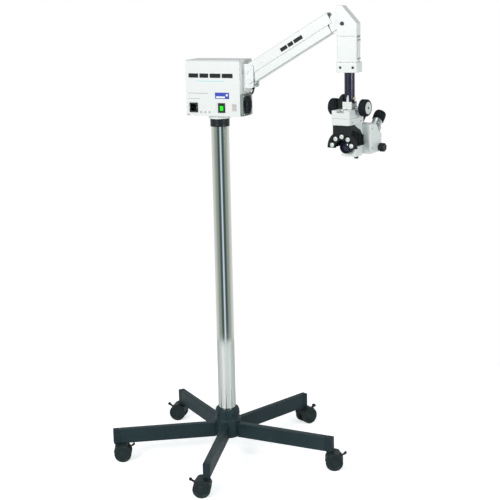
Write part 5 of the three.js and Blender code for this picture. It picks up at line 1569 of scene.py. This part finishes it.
@dataclass
class SwingArm(Section):
    """The shoulder bracket, the two links with their covers, the spring and the lamp lead."""

    pin_radius: float = 0.004
    spring_wire: float = 0.0008
    lead_radius: float = 0.0026
    lead_cuts: int = 10
    lead_route: tuple[Triple, ...] = (
        (83.85, 24, 57), (87.85, 24, 57.5), (92.85, 23, 62), (96.85, 19, 70.15), (96.85, 18, 76.15),
    )

    def build(self) -> None:
        """Build the shoulder, then the links."""
        self.refined("shoulder_bracket", "power_box", WHITE_ENAMEL, 0.6 * MM)
        self.refined("upper_arm_cover", "upper_link", WHITE_ENAMEL, 0.9 * MM)
        self.refined("upper_link_bar", "upper_link", WHITE_ENAMEL, 0.4 * MM)
        self.refined("lower_link_channel", "lower_link", WHITE_ENAMEL, 0.7 * MM)
        self._pins()
        self._spring()
        self._lead()
        self._cover_details()

    def _pins(self) -> None:
        """The shoulder's two pivot pins, with socketed heads."""
        low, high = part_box("shoulder_pins")
        middle, half = (low.y + high.y) / 2, (high.y - low.y) / 2
        reach = half - 1.5 * MM
        for joint in ("arm_lift", "lower_link_turn"):
            where = Vector(JOINTS[joint]["pos_m"])
            pin = Workpiece(upright((where.x, middle, where.z)))
            pin.rod(self.pin_radius, -reach, reach, STEEL, axis="y")
            heads = [((0, side * (half - 1.6 * MM), 0), (0, side, 0)) for side in (-1, 1)]
            pin.screwed(Screw(5.6 * MM, 1.2 * MM, 2.2 * MM, 40), heads, WHITE_ENAMEL)
            self.keep(pin, f"{joint}_pin", "power_box", "bare_steel", ["shoulder_pins"])

    def _spring(self) -> None:
        """The balance spring inside the upper cover, as a real coil."""
        local = arm_place("arm_lift")
        low, high = local.box("balance_spring")
        start = local.moved(low.x, (low.y + high.y) / 2, (low.z + high.z) / 2)
        gauge, length = self.spring_wire, high.x - low.x
        coil = REPEATS.make(
            REPEATS.coil, STEEL, turns=round(length / (2.4 * gauge)), radius=(high.z - low.z) / 2 - gauge,
            wire=gauge, length=length,
        )
        spring = Workpiece(Place.from_xz(start.origin, local.z, local.x)).copies(coil, STEEL)
        self.keep(spring, "balance_coil", "upper_link", "bare_steel", ["balance_spring"])

    def _lead(self) -> None:
        """The lamp lead from the box's grommet to the bracket's gland."""
        route = [Vector(point) * MM for point in self.lead_route]
        lead = Workpiece(BOX_PLACE).tube(self._smoothed(route), self.lead_radius, LEAD_JACKET, 20)
        for spot, aim in ((route[0], (1, 0, 0)), (route[-1], (0, 0, -1))):
            gland = Workpiece(BOX_PLACE.moved(*spot).aimed(aim)).turned(
                [(2.5 * MM, -0.9 * MM), (5.2 * MM, -0.9 * MM), (5.2 * MM, 0.8 * MM), (4.2 * MM, 1.6 * MM),
                 (3.6 * MM, 5.5 * MM), (2.5 * MM, 5.5 * MM)],
                RUBBER, round_by=0.3 * MM, steps=36,
            )
            lead.absorb(gland)
        self.keep(lead, "lamp_lead", "power_box", "black_rubber", ["arm_lead"])

    def _smoothed(self, route: Sequence[Vector]) -> list[Vector]:
        """Lead a smooth curve through a route's points.

        Args:
            route: the points.

        Returns:
            The curve, in short straight pieces.
        """
        curve: list[Vector] = []
        for k in range(len(route) - 1):
            before, start = route[max(k - 1, 0)], route[k]
            end, after = route[k + 1], route[min(k + 2, len(route) - 1)]
            for t in (step / self.lead_cuts for step in range(self.lead_cuts)):
                curve.append(0.5 * (
                    2 * start + (end - before) * t + (2 * before - 5 * start + 4 * end - after) * t * t
                    + (3 * start - before - 3 * end + after) * t ** 3
                ))
        return [*curve, route[-1]]

    def _cover_details(self) -> None:
        """The plain bars and the screws on the upper cover, and a grey-green strip of painted shade along the
        lower channel's bottom edge.
        """
        local = arm_place("arm_lift")
        low, high = local.box("upper_arm_cover")
        details = Workpiece(local)
        start = low.x + 104 * MM
        for width in (22, 17, 28):
            bar = rounded(rectangle(start, start + width * MM, -5.4 * MM, 5.0 * MM), 1.2 * MM, 3)
            for side in (low.y, high.y):
                details.plate(bar, side - 0.12 * MM, side + 0.12 * MM, INK_BLACK, axis="y")
            start += (width + 3) * MM
        spots = [((low.x + 40 * MM, y, 0.5 * MM), (0, math.copysign(1, y), 0)) for y in (low.y, high.y)]
        details.screwed(Screw(2.6 * MM, 1.0 * MM, 1.2 * MM), spots, STEEL)
        self.keep(details, "arm_cover_screws", "upper_link", "bare_steel")
        below = arm_place("lower_link_turn")
        low, high = below.box("lower_link_channel")
        # A thin grey-green strip along each side's bottom edge: painted shade for the shadowed line under the
        # lower channel.
        shade_strip = Workpiece(below)
        for side in (low.y, high.y):
            out = math.copysign(1, side)
            inner, outer = sorted((side - out * 0.4 * MM, side + out * 0.25 * MM))
            shade_strip.block((low.x + 24 * MM, inner, -6.9 * MM), (high.x - 8 * MM, outer, -5.5 * MM), SHADE_GREY)
        self.keep(shade_strip, "lower_channel_hem", "lower_link", "white_enamel")


@dataclass
class Elbow(Section):
    """The elbow housing, the drop housing and the post clamp."""

    pin_radius: float = 0.004
    pin_reach: float = 0.0135
    lower_pin: Point = (0.010, -0.027)
    panel_thickness: float = 0.0012

    def build(self) -> None:
        """Build the elbow from the top down."""
        self.refined("elbow_fork", "elbow", WHITE_ENAMEL, 0.4 * MM)
        self.refined("elbow_cover", "elbow", WHITE_ENAMEL, 0.9 * MM)
        self.refined("drop_housing", "elbow", WHITE_ENAMEL, 0.8 * MM)
        self.refined("clamp_block", "elbow", WHITE_ENAMEL, 1.0 * MM)
        self._pins()
        self._fasteners()

    def _pins(self) -> None:
        """The two elbow pins."""
        pins = Workpiece(joint_place("elbow_level"))
        reach = self.pin_reach
        for x, z in ((0.0, 0.0), self.lower_pin):
            pins.rod(self.pin_radius, -reach, reach, STEEL, at=(x, 0.0, z), axis="y", round_by=0.4 * MM)
        self.keep(pins, "elbow_pivot_pins", "elbow", "bare_steel", ["elbow_pins"])

    def _fasteners(self) -> None:
        """Bolt heads on the housing, the drop and the clamp, and the right side's panel with a grey-green
        block of painted shade at its top, for the shaded gap under the elbow cover.
        """
        local = joint_place("elbow_level")
        low, high = local.box("elbow_cover")
        drop_low, drop_high = local.box("drop_housing")
        clamp_low, clamp_high = local.box("clamp_block")
        bolts = Workpiece(local)
        pin_x, pin_z = self.lower_pin
        heads = [((pin_x, y, pin_z), (0, side, 0)) for side, y in ((-1, low.y), (1, high.y))]
        bolts.screwed(Screw(5.2 * MM, 3.0 * MM, 2.4 * MM, 40), heads, BLACK_OXIDE)
        middle, level = (clamp_low.x + clamp_high.x) / 2, (clamp_low.z + clamp_high.z) / 2
        clamps = [((middle + across, clamp_low.y, level), (0, -1, 0)) for across in (-17.5 * MM, 17.5 * MM)]
        bolts.screwed(Screw(3.4 * MM, 1.4 * MM, 1.6 * MM, 32), clamps, BLACK_OXIDE)
        panel_face = drop_high.x + self.panel_thickness
        corners = [(y, up) for y in (-7 * MM, 7 * MM) for up in (9 * MM, 58 * MM)]
        sides = [((panel_face, y, drop_low.z + up), (1, 0, 0)) for y, up in corners]
        bolts.screwed(Screw(2.6 * MM, 1.0 * MM, 1.2 * MM), sides, BLACK_OXIDE)
        self.keep(bolts, "elbow_bolts", "elbow", "bare_steel")
        plate = Workpiece(local)
        panel = rounded(rectangle(-11 * MM, 11 * MM, drop_low.z + 4 * MM, drop_high.z - 4 * MM), 2 * MM, 3)
        plate.plate(panel, drop_high.x, panel_face, WHITE_ENAMEL, axis="x", edge=0.4 * MM)
        # Grey-green block at the panel's top: painted shade for the dark gap between the elbow cover and the
        # drop housing.
        plate.block(
            (drop_high.x + 0.8 * MM, -12 * MM, drop_high.z - 3 * MM),
            (drop_high.x + 4.5 * MM, 2 * MM, drop_high.z + 1.5 * MM), SHADE_GREY, 0.8 * MM,
        )
        self.keep(plate, "drop_side_panel", "elbow", "white_enamel")


@dataclass
class PostAndNeck(Section):
    """The navy post, the tilting neck, the focus bearing and its two knobs."""

    knob_length: float = 0.024
    pinion_length: float = 0.013

    def build(self) -> None:
        """Build the post, the neck and the knobs."""
        self.refined("post_shaft", "post", POST_ENAMEL, 0.6 * MM)
        self.refined("neck_bracket", "neck", WHITE_ENAMEL, 0.7 * MM)
        self.refined("focus_bearing", "neck", BLACK_CAST, 0.6 * MM)
        self._bearing_arm()
        self._tilt_pin()
        self._knobs()

    def _bearing_arm(self) -> None:
        """The black curved arm from beside the post's fork down to the left knob."""
        place = joint_place("head_tilt", HEAD_X)
        curve = [
            (-32, -27), (-15, -27), (-14.8, 9), (-17, 12), (-21, 10.5), (-26, 5.5), (-29.5, 0), (-32, -5),
        ]
        outline = rounded([(x * MM, z * MM) for x, z in curve], 2.2 * MM, 4)
        arm = Workpiece(place).plate(
            outline, -7.5 * MM, 7.5 * MM, BLACK_CAST, axis="y", edge=1.4 * MM, facets=3,
        )
        self.keep(arm, "bearing_arm", "neck", "black_plastic")

    def _tilt_pin(self) -> None:
        """The brass tilt screw on the post's right side."""
        place = joint_place("head_tilt", HEAD_X)
        face = place.box("post_shaft")[1].x
        heads = [((face - 0.3 * MM, 0.0, 0.0), (1, 0, 0))]
        pin = Workpiece(place).screwed(Screw(5.2 * MM, 2.2 * MM, 2.1 * MM, 40), heads, BRASS)
        self.keep(pin, "tilt_screw", "post", "bare_steel")

    def _knobs(self) -> None:
        """The focus knobs on their shared axle: grip ribs, a pale disc and the pinion."""
        place = joint_place("focus_turn", HEAD_X)
        high = place.box("focus_knob_pair")[1]
        radius, outer = high.z, high.x
        inner = outer - self.knob_length
        rim, face, axle = outer - 0.2 * MM, outer - 1.25 * MM, inner + 0.5 * MM
        profile = [
            (0.0, inner), (radius * 0.62, inner), (radius * 0.74, inner + 3 * MM),
            (radius - 1.4 * MM, inner + 4 * MM), (radius - 0.9 * MM, outer - 3 * MM), (radius - 3.6 * MM, rim),
            (17.4 * MM, rim), (16.8 * MM, outer - 1.2 * MM), (0.0, outer - 1.2 * MM),
        ]
        disc = [(0.0, face), (16.3 * MM, face), (16.3 * MM, face + 0.9 * MM), (0.0, face + 1.1 * MM)]
        work = Workpiece(Place.from_xz(place.origin, place.y, place.x))
        for side in (-1, 1):
            work.turned(mirrored(profile, side), RUBBER, round_by=0.8 * MM, steps=96)
            low_rib, high_rib = sorted((side * (inner + 5 * MM), side * (outer - 3.6 * MM)))
            work.ribbed(radius - 1.3 * MM, low_rib, high_rib, 44, 0.8 * MM, RUBBER)
            work.turned(mirrored(disc, side), WHITE_DISC, steps=72)
            screw = ((0, 0, side * (face + 1.0 * MM)), (0, 0, side))
            work.screwed(Screw(3.2 * MM, 0.9 * MM, 1.5 * MM, 32), [screw], BLACK_OXIDE)
        work.rod(3 * MM, -axle, axle, STEEL)
        half = self.pinion_length / 2
        work.ribbed(5.4 * MM, -half, half, 12, 1.0 * MM, STEEL)
        work.rod(5.2 * MM, -half, half, STEEL)
        knobs = Workpiece(place).absorb(work)
        self.keep(knobs, "focus_knobs_pair", "focus_knobs", "black_rubber", ["focus_knob_pair"])


@dataclass
class OpticalHead(Section):
    """The head cover, zoom body, objective, lamp housing and binocular body."""

    lamp_count: int = 5
    lamp_step: float = 38.5
    lamp_radius: float = 0.0062
    lamp_circle: float = 0.030
    seam_inset: float = 0.0046

    def build(self) -> None:
        """Build the head from its cover down."""
        self.place = joint_place("head_tilt", HEAD_X)
        self.refined("head_cover", "optical_head", WHITE_ENAMEL, 1.0 * MM)
        self.refined("zoom_body", "optical_head", SILVER_ENAMEL, 0.9 * MM)
        self.refined("led_housing", "optical_head", BLACK_CAST, 0.5 * MM)
        self._body()
        self._objective()
        self._lamps()
        self._trim()

    def _body(self) -> None:
        """The binocular body: a rounded casting with a cut heel and a slope for the eyepieces."""
        low, high = self.place.box("binocular_body")
        slope, heel = 34 * MM, 16 * MM
        outline = rounded([
            (low.y, low.z), (high.y - heel, low.z), (high.y, low.z + heel), (high.y, high.z - slope),
            (high.y - slope, high.z), (low.y, high.z),
        ], 7.5 * MM, 7)
        casting = Workpiece(self.place).plate(
            outline, low.x, high.x, SILVER_ENAMEL, axis="x", edge=5 * MM, facets=5,
        )
        self.keep(casting, "binocular_casting", "optical_head", "silver_enamel", ["binocular_body"])

    def _objective(self) -> None:
        """The objective's barrel with a grip band, its lens in painted dark blue, and a black plug behind the
        lens as painted shade for the dark optics inside.
        """
        low, high = self.place.box("objective_barrel")
        radius = (high.x - low.x) / 2
        length = high.y - low.y
        back = self.place.moved((low.x + high.x) / 2, high.y, (low.z + high.z) / 2)
        work = Workpiece(Place.from_xz(back.origin, self.place.x, -self.place.y))
        bore = radius - 3.2 * MM
        work.turned(
            [(bore - 1.5 * MM, 0.0), (radius, 0.0), (radius, length - 1.2 * MM), (radius - 1.2 * MM, length),
             (bore + 0.8 * MM, length), (bore, length - 0.8 * MM), (bore, length - 5.5 * MM),
             (bore - 1.5 * MM, length - 6.5 * MM)],
            BLACK_CAST, round_by=0.4 * MM, steps=96,
        )
        work.ribbed(radius - 0.15 * MM, 2 * MM, length - 5 * MM, 60, 0.4 * MM, BLACK_CAST)
        self.keep(work, "objective_ring", "optical_head", "black_plastic", ["objective_barrel"])
        glass = Workpiece(work.place)
        lens_radius, lens_back = bore - 0.3 * MM, length - 9 * MM
        dome = [
            (min(bore * share, lens_radius), length - 3.6 * MM - 3.0 * MM * share ** 2)
            for share in (k / 8 for k in range(8, -1, -1))
        ]
        glass.turned([(0.0, lens_back), (lens_radius, lens_back), *dome], LENS_GLASS, steps=72)
        # Black plug filling the bore behind the lens: painted shade for the dark inside of the optics.
        glass.rod(bore - 0.2 * MM, 1.0 * MM, length - 9.4 * MM, BLACK_CAST, steps=72)
        self.keep(glass, "objective_glass", "optical_head", "clear_lens", ["objective_lens"])

    def _lamps(self) -> None:
        """Five domed lamps round the objective, each in a dark bezel."""
        low, high = self.place.box("objective_barrel")
        middle = (low.z + high.z) / 2
        face = self.place.box("led_housing")[0].y
        place = Place.from_xz(self.place.moved(0.0, face, middle).origin, self.place.x, -self.place.y)
        radius, height = self.lamp_radius, 0.4 * MM
        rises = [math.pi / 2 * k / 8 for k in range(9)]
        dome = [(radius * math.cos(a), height + 2.6 * MM * math.sin(a)) for a in rises]
        lens = Workpiece(AT_ORIGIN).turned(
            [(0.0, -4 * MM), (radius, -4 * MM), *dome[:-1], (0.0, dome[-1][1])], LED_LENS, steps=40,
        )
        mark = Workpiece(AT_ORIGIN).turned(
            [(1.9 * MM, 1.5 * MM), (2.9 * MM, 1.5 * MM), (2.9 * MM, 2.72 * MM), (1.9 * MM, 2.9 * MM)],
            INK_GREY, steps=32,
        )
        bezel = Workpiece(AT_ORIGIN).turned(
            [(6.3 * MM, -0.5 * MM), (7.4 * MM, -0.5 * MM), (7.4 * MM, 0.4 * MM), (6.3 * MM, 0.7 * MM)],
            BLACK_PLASTIC, steps=40,
        )
        up = math.pi / 2 if place.y.z > 0 else -math.pi / 2
        spread = math.radians(self.lamp_step)
        first = up - spread * (self.lamp_count - 1) / 2
        lamps = Workpiece(place)
        for shape, finish in ((lens, LED_LENS), (mark, INK_GREY), (bezel, BLACK_PLASTIC)):
            lamps.ringed(
                shape, finish, count=self.lamp_count, radius=self.lamp_circle, start=first, step=spread,
            )
        self.keep(lamps, "lamp_domes", "optical_head", "clear_lens", ["led_lenses"])

    def _trim(self) -> None:
        """Screws on the head cover and the binocular body, and the head cover's joint line."""
        low, high = self.place.box("head_cover")
        work = Workpiece(self.place)
        spots = [((x, (low.y + high.y) / 2 + dy, low.z + 7 * MM), (math.copysign(1, x), 0, 0))
                 for x in (low.x, high.x) for dy in (-24 * MM, 24 * MM)]
        body_low, body_high = self.place.box("binocular_body")
        spots += [((x, body_low.y + 12 * MM, z), (math.copysign(1, x), 0, 0))
                  for x in (body_low.x, body_high.x) for z in (body_low.z + 14 * MM, body_high.z - 14 * MM)]
        work.screwed(Screw(2.5 * MM, 0.9 * MM, 1.2 * MM), spots, STEEL)
        self.keep(work, "head_screws", "optical_head", "bare_steel")
        self._seam(low, high)

    def _seam(self, low: Vector, high: Vector) -> None:
        """The joint line round the head cover, between its cap and its skirt.

        Args:
            low: the cover's lower corner in the head's axes.
            high: its upper corner.
        """
        level = low.z + (high.z - low.z) * 0.46
        line = Workpiece(self.place)
        near, far, half, inset = -0.06 * MM, 0.3 * MM, 0.35 * MM, self.seam_inset
        for y0, y1 in ((low.y + near, low.y + far), (high.y - far, high.y - near)):
            line.block((low.x + inset, y0, level - half), (high.x - inset, y1, level + half), SHADE_GREY)
        for x0, x1 in ((low.x + near, low.x + far), (high.x - far, high.x - near)):
            line.block((x0, low.y + inset, level - half), (x1, high.y - inset, level + half), SHADE_GREY)
        self.keep(line, "head_cover_seam", "optical_head", "white_enamel")


@dataclass
class Eyepieces(Section):
    """The two sliding eyepieces with their rubber eyecups."""

    tube_radius: float = 0.0135
    sight_radius: float = 0.0113

    def build(self) -> None:
        """Build each side."""
        for side in ("left", "right"):
            self._eyepiece(side)

    def _eyepiece(self, side: str) -> None:
        """One eyepiece: flange, tube, glass, and the rubber cup that turns on it.

        Args:
            side: left or right.
        """
        joint = JOINTS[f"eyecup_{side}_turn"]
        axis = Vector(joint["axis"])
        if axis.z < 0:
            axis = -axis
        place = Place.from_xz(joint["pos_m"], HEAD_X, axis)
        low, high = place.box(f"eyepiece_{side}")
        cup_low, cup_high = place.box(f"eyecup_{side}")
        tube, sight, flange = self.tube_radius, self.sight_radius, (high.x - low.x) / 2
        base, top = low.z, high.z
        foot = cup_low.z - 20 * MM
        piece = Workpiece(place)
        piece.turned(
            [(sight, base), (flange, base), (flange, foot - 0.6 * MM), (flange - 0.6 * MM, foot),
             (tube + 1.0 * MM, foot), (tube, foot + 0.8 * MM), (tube, foot + 5 * MM),
             (tube - 0.4 * MM, foot + 5.3 * MM), (tube - 0.4 * MM, foot + 5.9 * MM), (tube, foot + 6.2 * MM),
             (tube, top - 0.6 * MM), (tube - 0.8 * MM, top),
             (sight, top)],
            SATIN_TUBE, round_by=0.25 * MM, steps=96,
        )
        piece.turned(
            [(0.0, top - 9 * MM), (11.2 * MM, top - 9 * MM), (11.2 * MM, top - 7 * MM),
             (7 * MM, top - 5.8 * MM), (0.0, top - 5.3 * MM)],
            LENS_GLASS, steps=64,
        )
        self.keep(piece, f"eyepiece_tube_{side}", f"eye_{side}", "bare_steel", [f"eyepiece_{side}"])
        radius = (cup_high.x - cup_low.x) / 2
        low_end, high_end = cup_low.z, cup_high.z
        bore = tube + 0.4 * MM
        cup = Workpiece(place)
        cup.turned(
            [(bore, low_end), (radius - 0.8 * MM, low_end), (radius - 0.5 * MM, low_end + 8 * MM),
             (radius, low_end + 9 * MM), (radius, high_end - 9 * MM), (radius - 0.8 * MM, high_end - 3 * MM),
             (radius - 2.2 * MM, high_end), (radius - 4 * MM, high_end - 0.5 * MM),
             (11.6 * MM, high_end - 7 * MM), (11.6 * MM, top + 0.4 * MM), (bore, top + 0.4 * MM)],
            RUBBER, round_by=0.9 * MM, steps=96,
        )
        cup.ribbed(radius - 0.7 * MM, low_end + 1 * MM, low_end + 7.6 * MM, 48, 0.55 * MM, RUBBER)
        self.keep(cup, f"eyecup_rubber_{side}", f"cup_{side}", "black_rubber", [f"eyecup_{side}"])


@dataclass
class SmallControls(Section):
    """The zoom knobs and the head's lock knob."""

    zoom_length: float = 0.015
    stud_radius: float = 0.0025

    def build(self) -> None:
        """Build the two controls."""
        self._zoom()
        self._lock()

    def _zoom(self) -> None:
        """The two ribbed zoom knobs on their shared shaft."""
        start = joint_place("zoom_turn", HEAD_X)
        high = start.box("zoom_knob_pair")[1]
        radius, outer = high.z, high.x
        inner = outer - self.zoom_length
        axle = inner + 0.5 * MM
        work = Workpiece(Place.from_xz(start.origin, start.y, start.x))
        profile = [
            (0.0, inner), (radius - 1.6 * MM, inner), (radius - 0.6 * MM, inner + 1.2 * MM),
            (radius - 0.6 * MM, outer - 1.6 * MM), (radius - 2.2 * MM, outer), (0.0, outer),
        ]
        for side in (-1, 1):
            work.turned(mirrored(profile, side), BLACK_PLASTIC, round_by=0.5 * MM, steps=72)
            low_rib, high_rib = sorted((side * (inner + 1.6 * MM), side * (outer - 2 * MM)))
            work.ribbed(radius - 0.7 * MM, low_rib, high_rib, 26, 0.6 * MM, BLACK_PLASTIC)
        work.rod(3.5 * MM, -axle, axle, STEEL)
        self.keep(work, "zoom_knobs", "zoom_control", "black_plastic", ["zoom_knob_pair"])

    def _lock(self) -> None:
        """The knurled lock knob under the head with its washer."""
        start = joint_place("lock_turn", HEAD_X)
        low, high = start.box("lock_knob")
        radius = (high.x - low.x) / 2
        base, top = low.z, high.z
        stud = self.stud_radius
        work = Workpiece(start)
        work.turned(
            [(0.0, base), (radius - 1.2 * MM, base), (radius - 0.4 * MM, base + 0.9 * MM),
             (radius - 0.4 * MM, base + 5.2 * MM), (radius - 1.4 * MM, base + 6.2 * MM),
             (stud, base + 6.2 * MM), (stud, top), (0.0, top)],
            BLACK_PLASTIC, round_by=0.3 * MM, steps=64,
        )
        work.ribbed(radius - 0.5 * MM, base + 1.1 * MM, base + 5.1 * MM, 20, 0.45 * MM, BLACK_PLASTIC)
        work.sleeve(stud, 4.6 * MM, (base + 6.25 * MM, base + 6.95 * MM), STEEL)
        self.keep(work, "lock_knob_grip", "lock", "black_plastic", ["lock_knob"])


# ---------------------------------------------------------------- studio


@dataclass
class Studio:
    """The floor, the lights, the surroundings that the chrome mirrors, and the camera."""

    floor_radius: float = 1.2
    eye: Triple = (1.4907, -3.1969, 1.3878)
    azimuth: float = 23.75
    pitch: float = 12.39
    roll: float = -1.22
    lens: float = 90.27
    sensor: float = 36.0
    floor_glow: float = 0.62
    lit_point: Triple = (0.0, 0.0, 0.75)

    def build(self) -> None:
        """Build the whole set."""
        self._floor()
        self._world()
        self._lights()
        self._camera()
        view = bpy.context.scene.view_settings
        view.view_transform = "Standard"
        view.look = "None"

    def _floor(self) -> None:
        """A plain pale floor."""
        mesh = bmesh.new()
        bmesh.ops.create_circle(
            mesh, cap_ends=True, segments=128, radius=self.floor_radius,
            matrix=Matrix.Translation((COLUMN_FOOT.x, COLUMN_FOOT.y, 0.0)),
        )
        data = bpy.data.meshes.new("floor")
        mesh.to_mesh(data)
        mesh.free()
        paint = FLOOR_PAINT.build(PALETTE.kit)
        wire = Wiring(paint.node_tree)
        shader = paint.node_tree.nodes["Principled BSDF"]
        seen = wire.add("ShaderNodeLightPath").outputs["Is Camera Ray"]
        shader.inputs["Emission Color"].default_value = WHITE
        wire.join(wire.math("MULTIPLY", seen, self.floor_glow), shader.inputs["Emission Strength"])
        data.materials.append(paint)
        floor = bpy.data.objects.new("floor", data)
        bpy.context.collection.objects.link(floor)

    def _world(self) -> None:
        """White to the camera, and bands round the horizon for what mirrors it."""
        world = bpy.data.worlds.new("studio")
        world.use_nodes = True
        bpy.context.scene.world = world
        wire = Wiring(world.node_tree)
        background = world.node_tree.nodes["Background"]
        parts = wire.add("ShaderNodeSeparateXYZ")
        wire.join(wire.add("ShaderNodeTexCoord").outputs["Generated"], parts.inputs[0])
        bearing = wire.math("ARCTAN2", parts.outputs[1], parts.outputs[0])
        towards = math.atan2(self.eye[1], self.eye[0])
        around = wire.math("ABSOLUTE", wire.math("WRAP", wire.math("SUBTRACT", bearing, towards), math.pi))
        around.node.inputs[0].links[0].from_node.inputs[2].default_value = -math.pi
        ramp = wire.add("ShaderNodeValToRGB")
        wire.join(wire.math("DIVIDE", around, math.pi), ramp.inputs[0])
        stops = (
            (0.000, (0.95, 1.00, 1.10)), (0.035, (0.85, 0.93, 1.05)), (0.075, (0.10, 0.16, 0.17)),
            (0.19, (0.07, 0.11, 0.115)), (0.26, (0.34, 0.38, 0.33)), (0.42, (0.47, 0.50, 0.45)),
            (0.52, (0.70, 0.73, 0.70)), (0.66, (0.92, 0.93, 0.92)), (1.0, (1.0, 1.0, 1.0)),
        )
        elements = ramp.color_ramp.elements
        while len(elements) < len(stops):
            elements.new(0.5)
        for element, (position, colour) in zip(elements, stops):
            element.position = position
            element.color = (*colour, 1.0)
        high = wire.span(parts.outputs[2], 0.10, 0.42, 0.0, 1.0)
        overhead = wire.blend(high, ramp.outputs[0], (0.31, 0.345, 0.36, 1.0))
        seen = wire.add("ShaderNodeLightPath").outputs["Is Camera Ray"]
        wire.join(wire.blend(seen, overhead, WHITE), background.inputs["Color"])
        wire.join(wire.span(seen, 0.0, 1.0, 0.8, 1.0), background.inputs["Strength"])

    def _lights(self) -> None:
        """A large soft key from the left, a fill from the right and a light from above."""
        for name, spot, size, watts, colour in (
            ("key", (-0.9, -3.4, 1.9), 1.4, 84.0, (1.0, 0.99, 0.98)),
            ("fill", (2.9, -0.9, 1.3), 1.2, 32.0, (0.96, 1.0, 0.98)),
            ("top", (0.1, -0.6, 3.2), 1.6, 8.0, (1.0, 1.0, 1.0)),
        ):
            lamp = bpy.data.lights.new(name, "AREA")
            lamp.shape, lamp.size, lamp.energy, lamp.color = "DISK", size, watts, colour
            holder = bpy.data.objects.new(name, lamp)
            bpy.context.collection.objects.link(holder)
            holder.location = spot
            aim = Vector(self.lit_point) - Vector(spot)
            holder.rotation_euler = aim.to_track_quat("-Z", "Y").to_euler()

    def _camera(self) -> None:
        """The camera at a standing person's eye height."""
        turn, pitch, roll = (math.radians(value) for value in (self.azimuth, self.pitch, self.roll))
        level = Vector((-math.sin(turn), math.cos(turn), 0.0))
        right = Vector((math.cos(turn), math.sin(turn), 0.0))
        ahead = level * math.cos(pitch) - Vector((0, 0, 1)) * math.sin(pitch)
        up = right.cross(ahead)
        side = right * math.cos(roll) + up * math.sin(roll)
        top = up * math.cos(roll) - right * math.sin(roll)
        data = bpy.data.cameras.new("camera")
        data.lens, data.sensor_width = self.lens, self.sensor
        camera = bpy.data.objects.new("camera", data)
        bpy.context.collection.objects.link(camera)
        axes = Matrix((side, top, -ahead)).transposed().to_4x4()
        camera.matrix_world = Matrix.Translation(COLUMN_FOOT + Vector(self.eye)) @ axes
        bpy.context.scene.camera = camera


def main() -> None:
    """Build every sub-assembly, then the studio."""
    logging.basicConfig(level=logging.INFO, format="%(name)s: %(message)s")
    sections = [
        StarBase(), Casters(), Column(), PowerBox(), SwingArm(), Elbow(), PostAndNeck(), OpticalHead(),
        Eyepieces(), SmallControls(),
    ]
    for section in sections:
        section.build()
        log.info("%s: %d pieces", type(section).__name__, len(section.pieces))
    Studio().build()


if __name__ == "__main__":
    main()
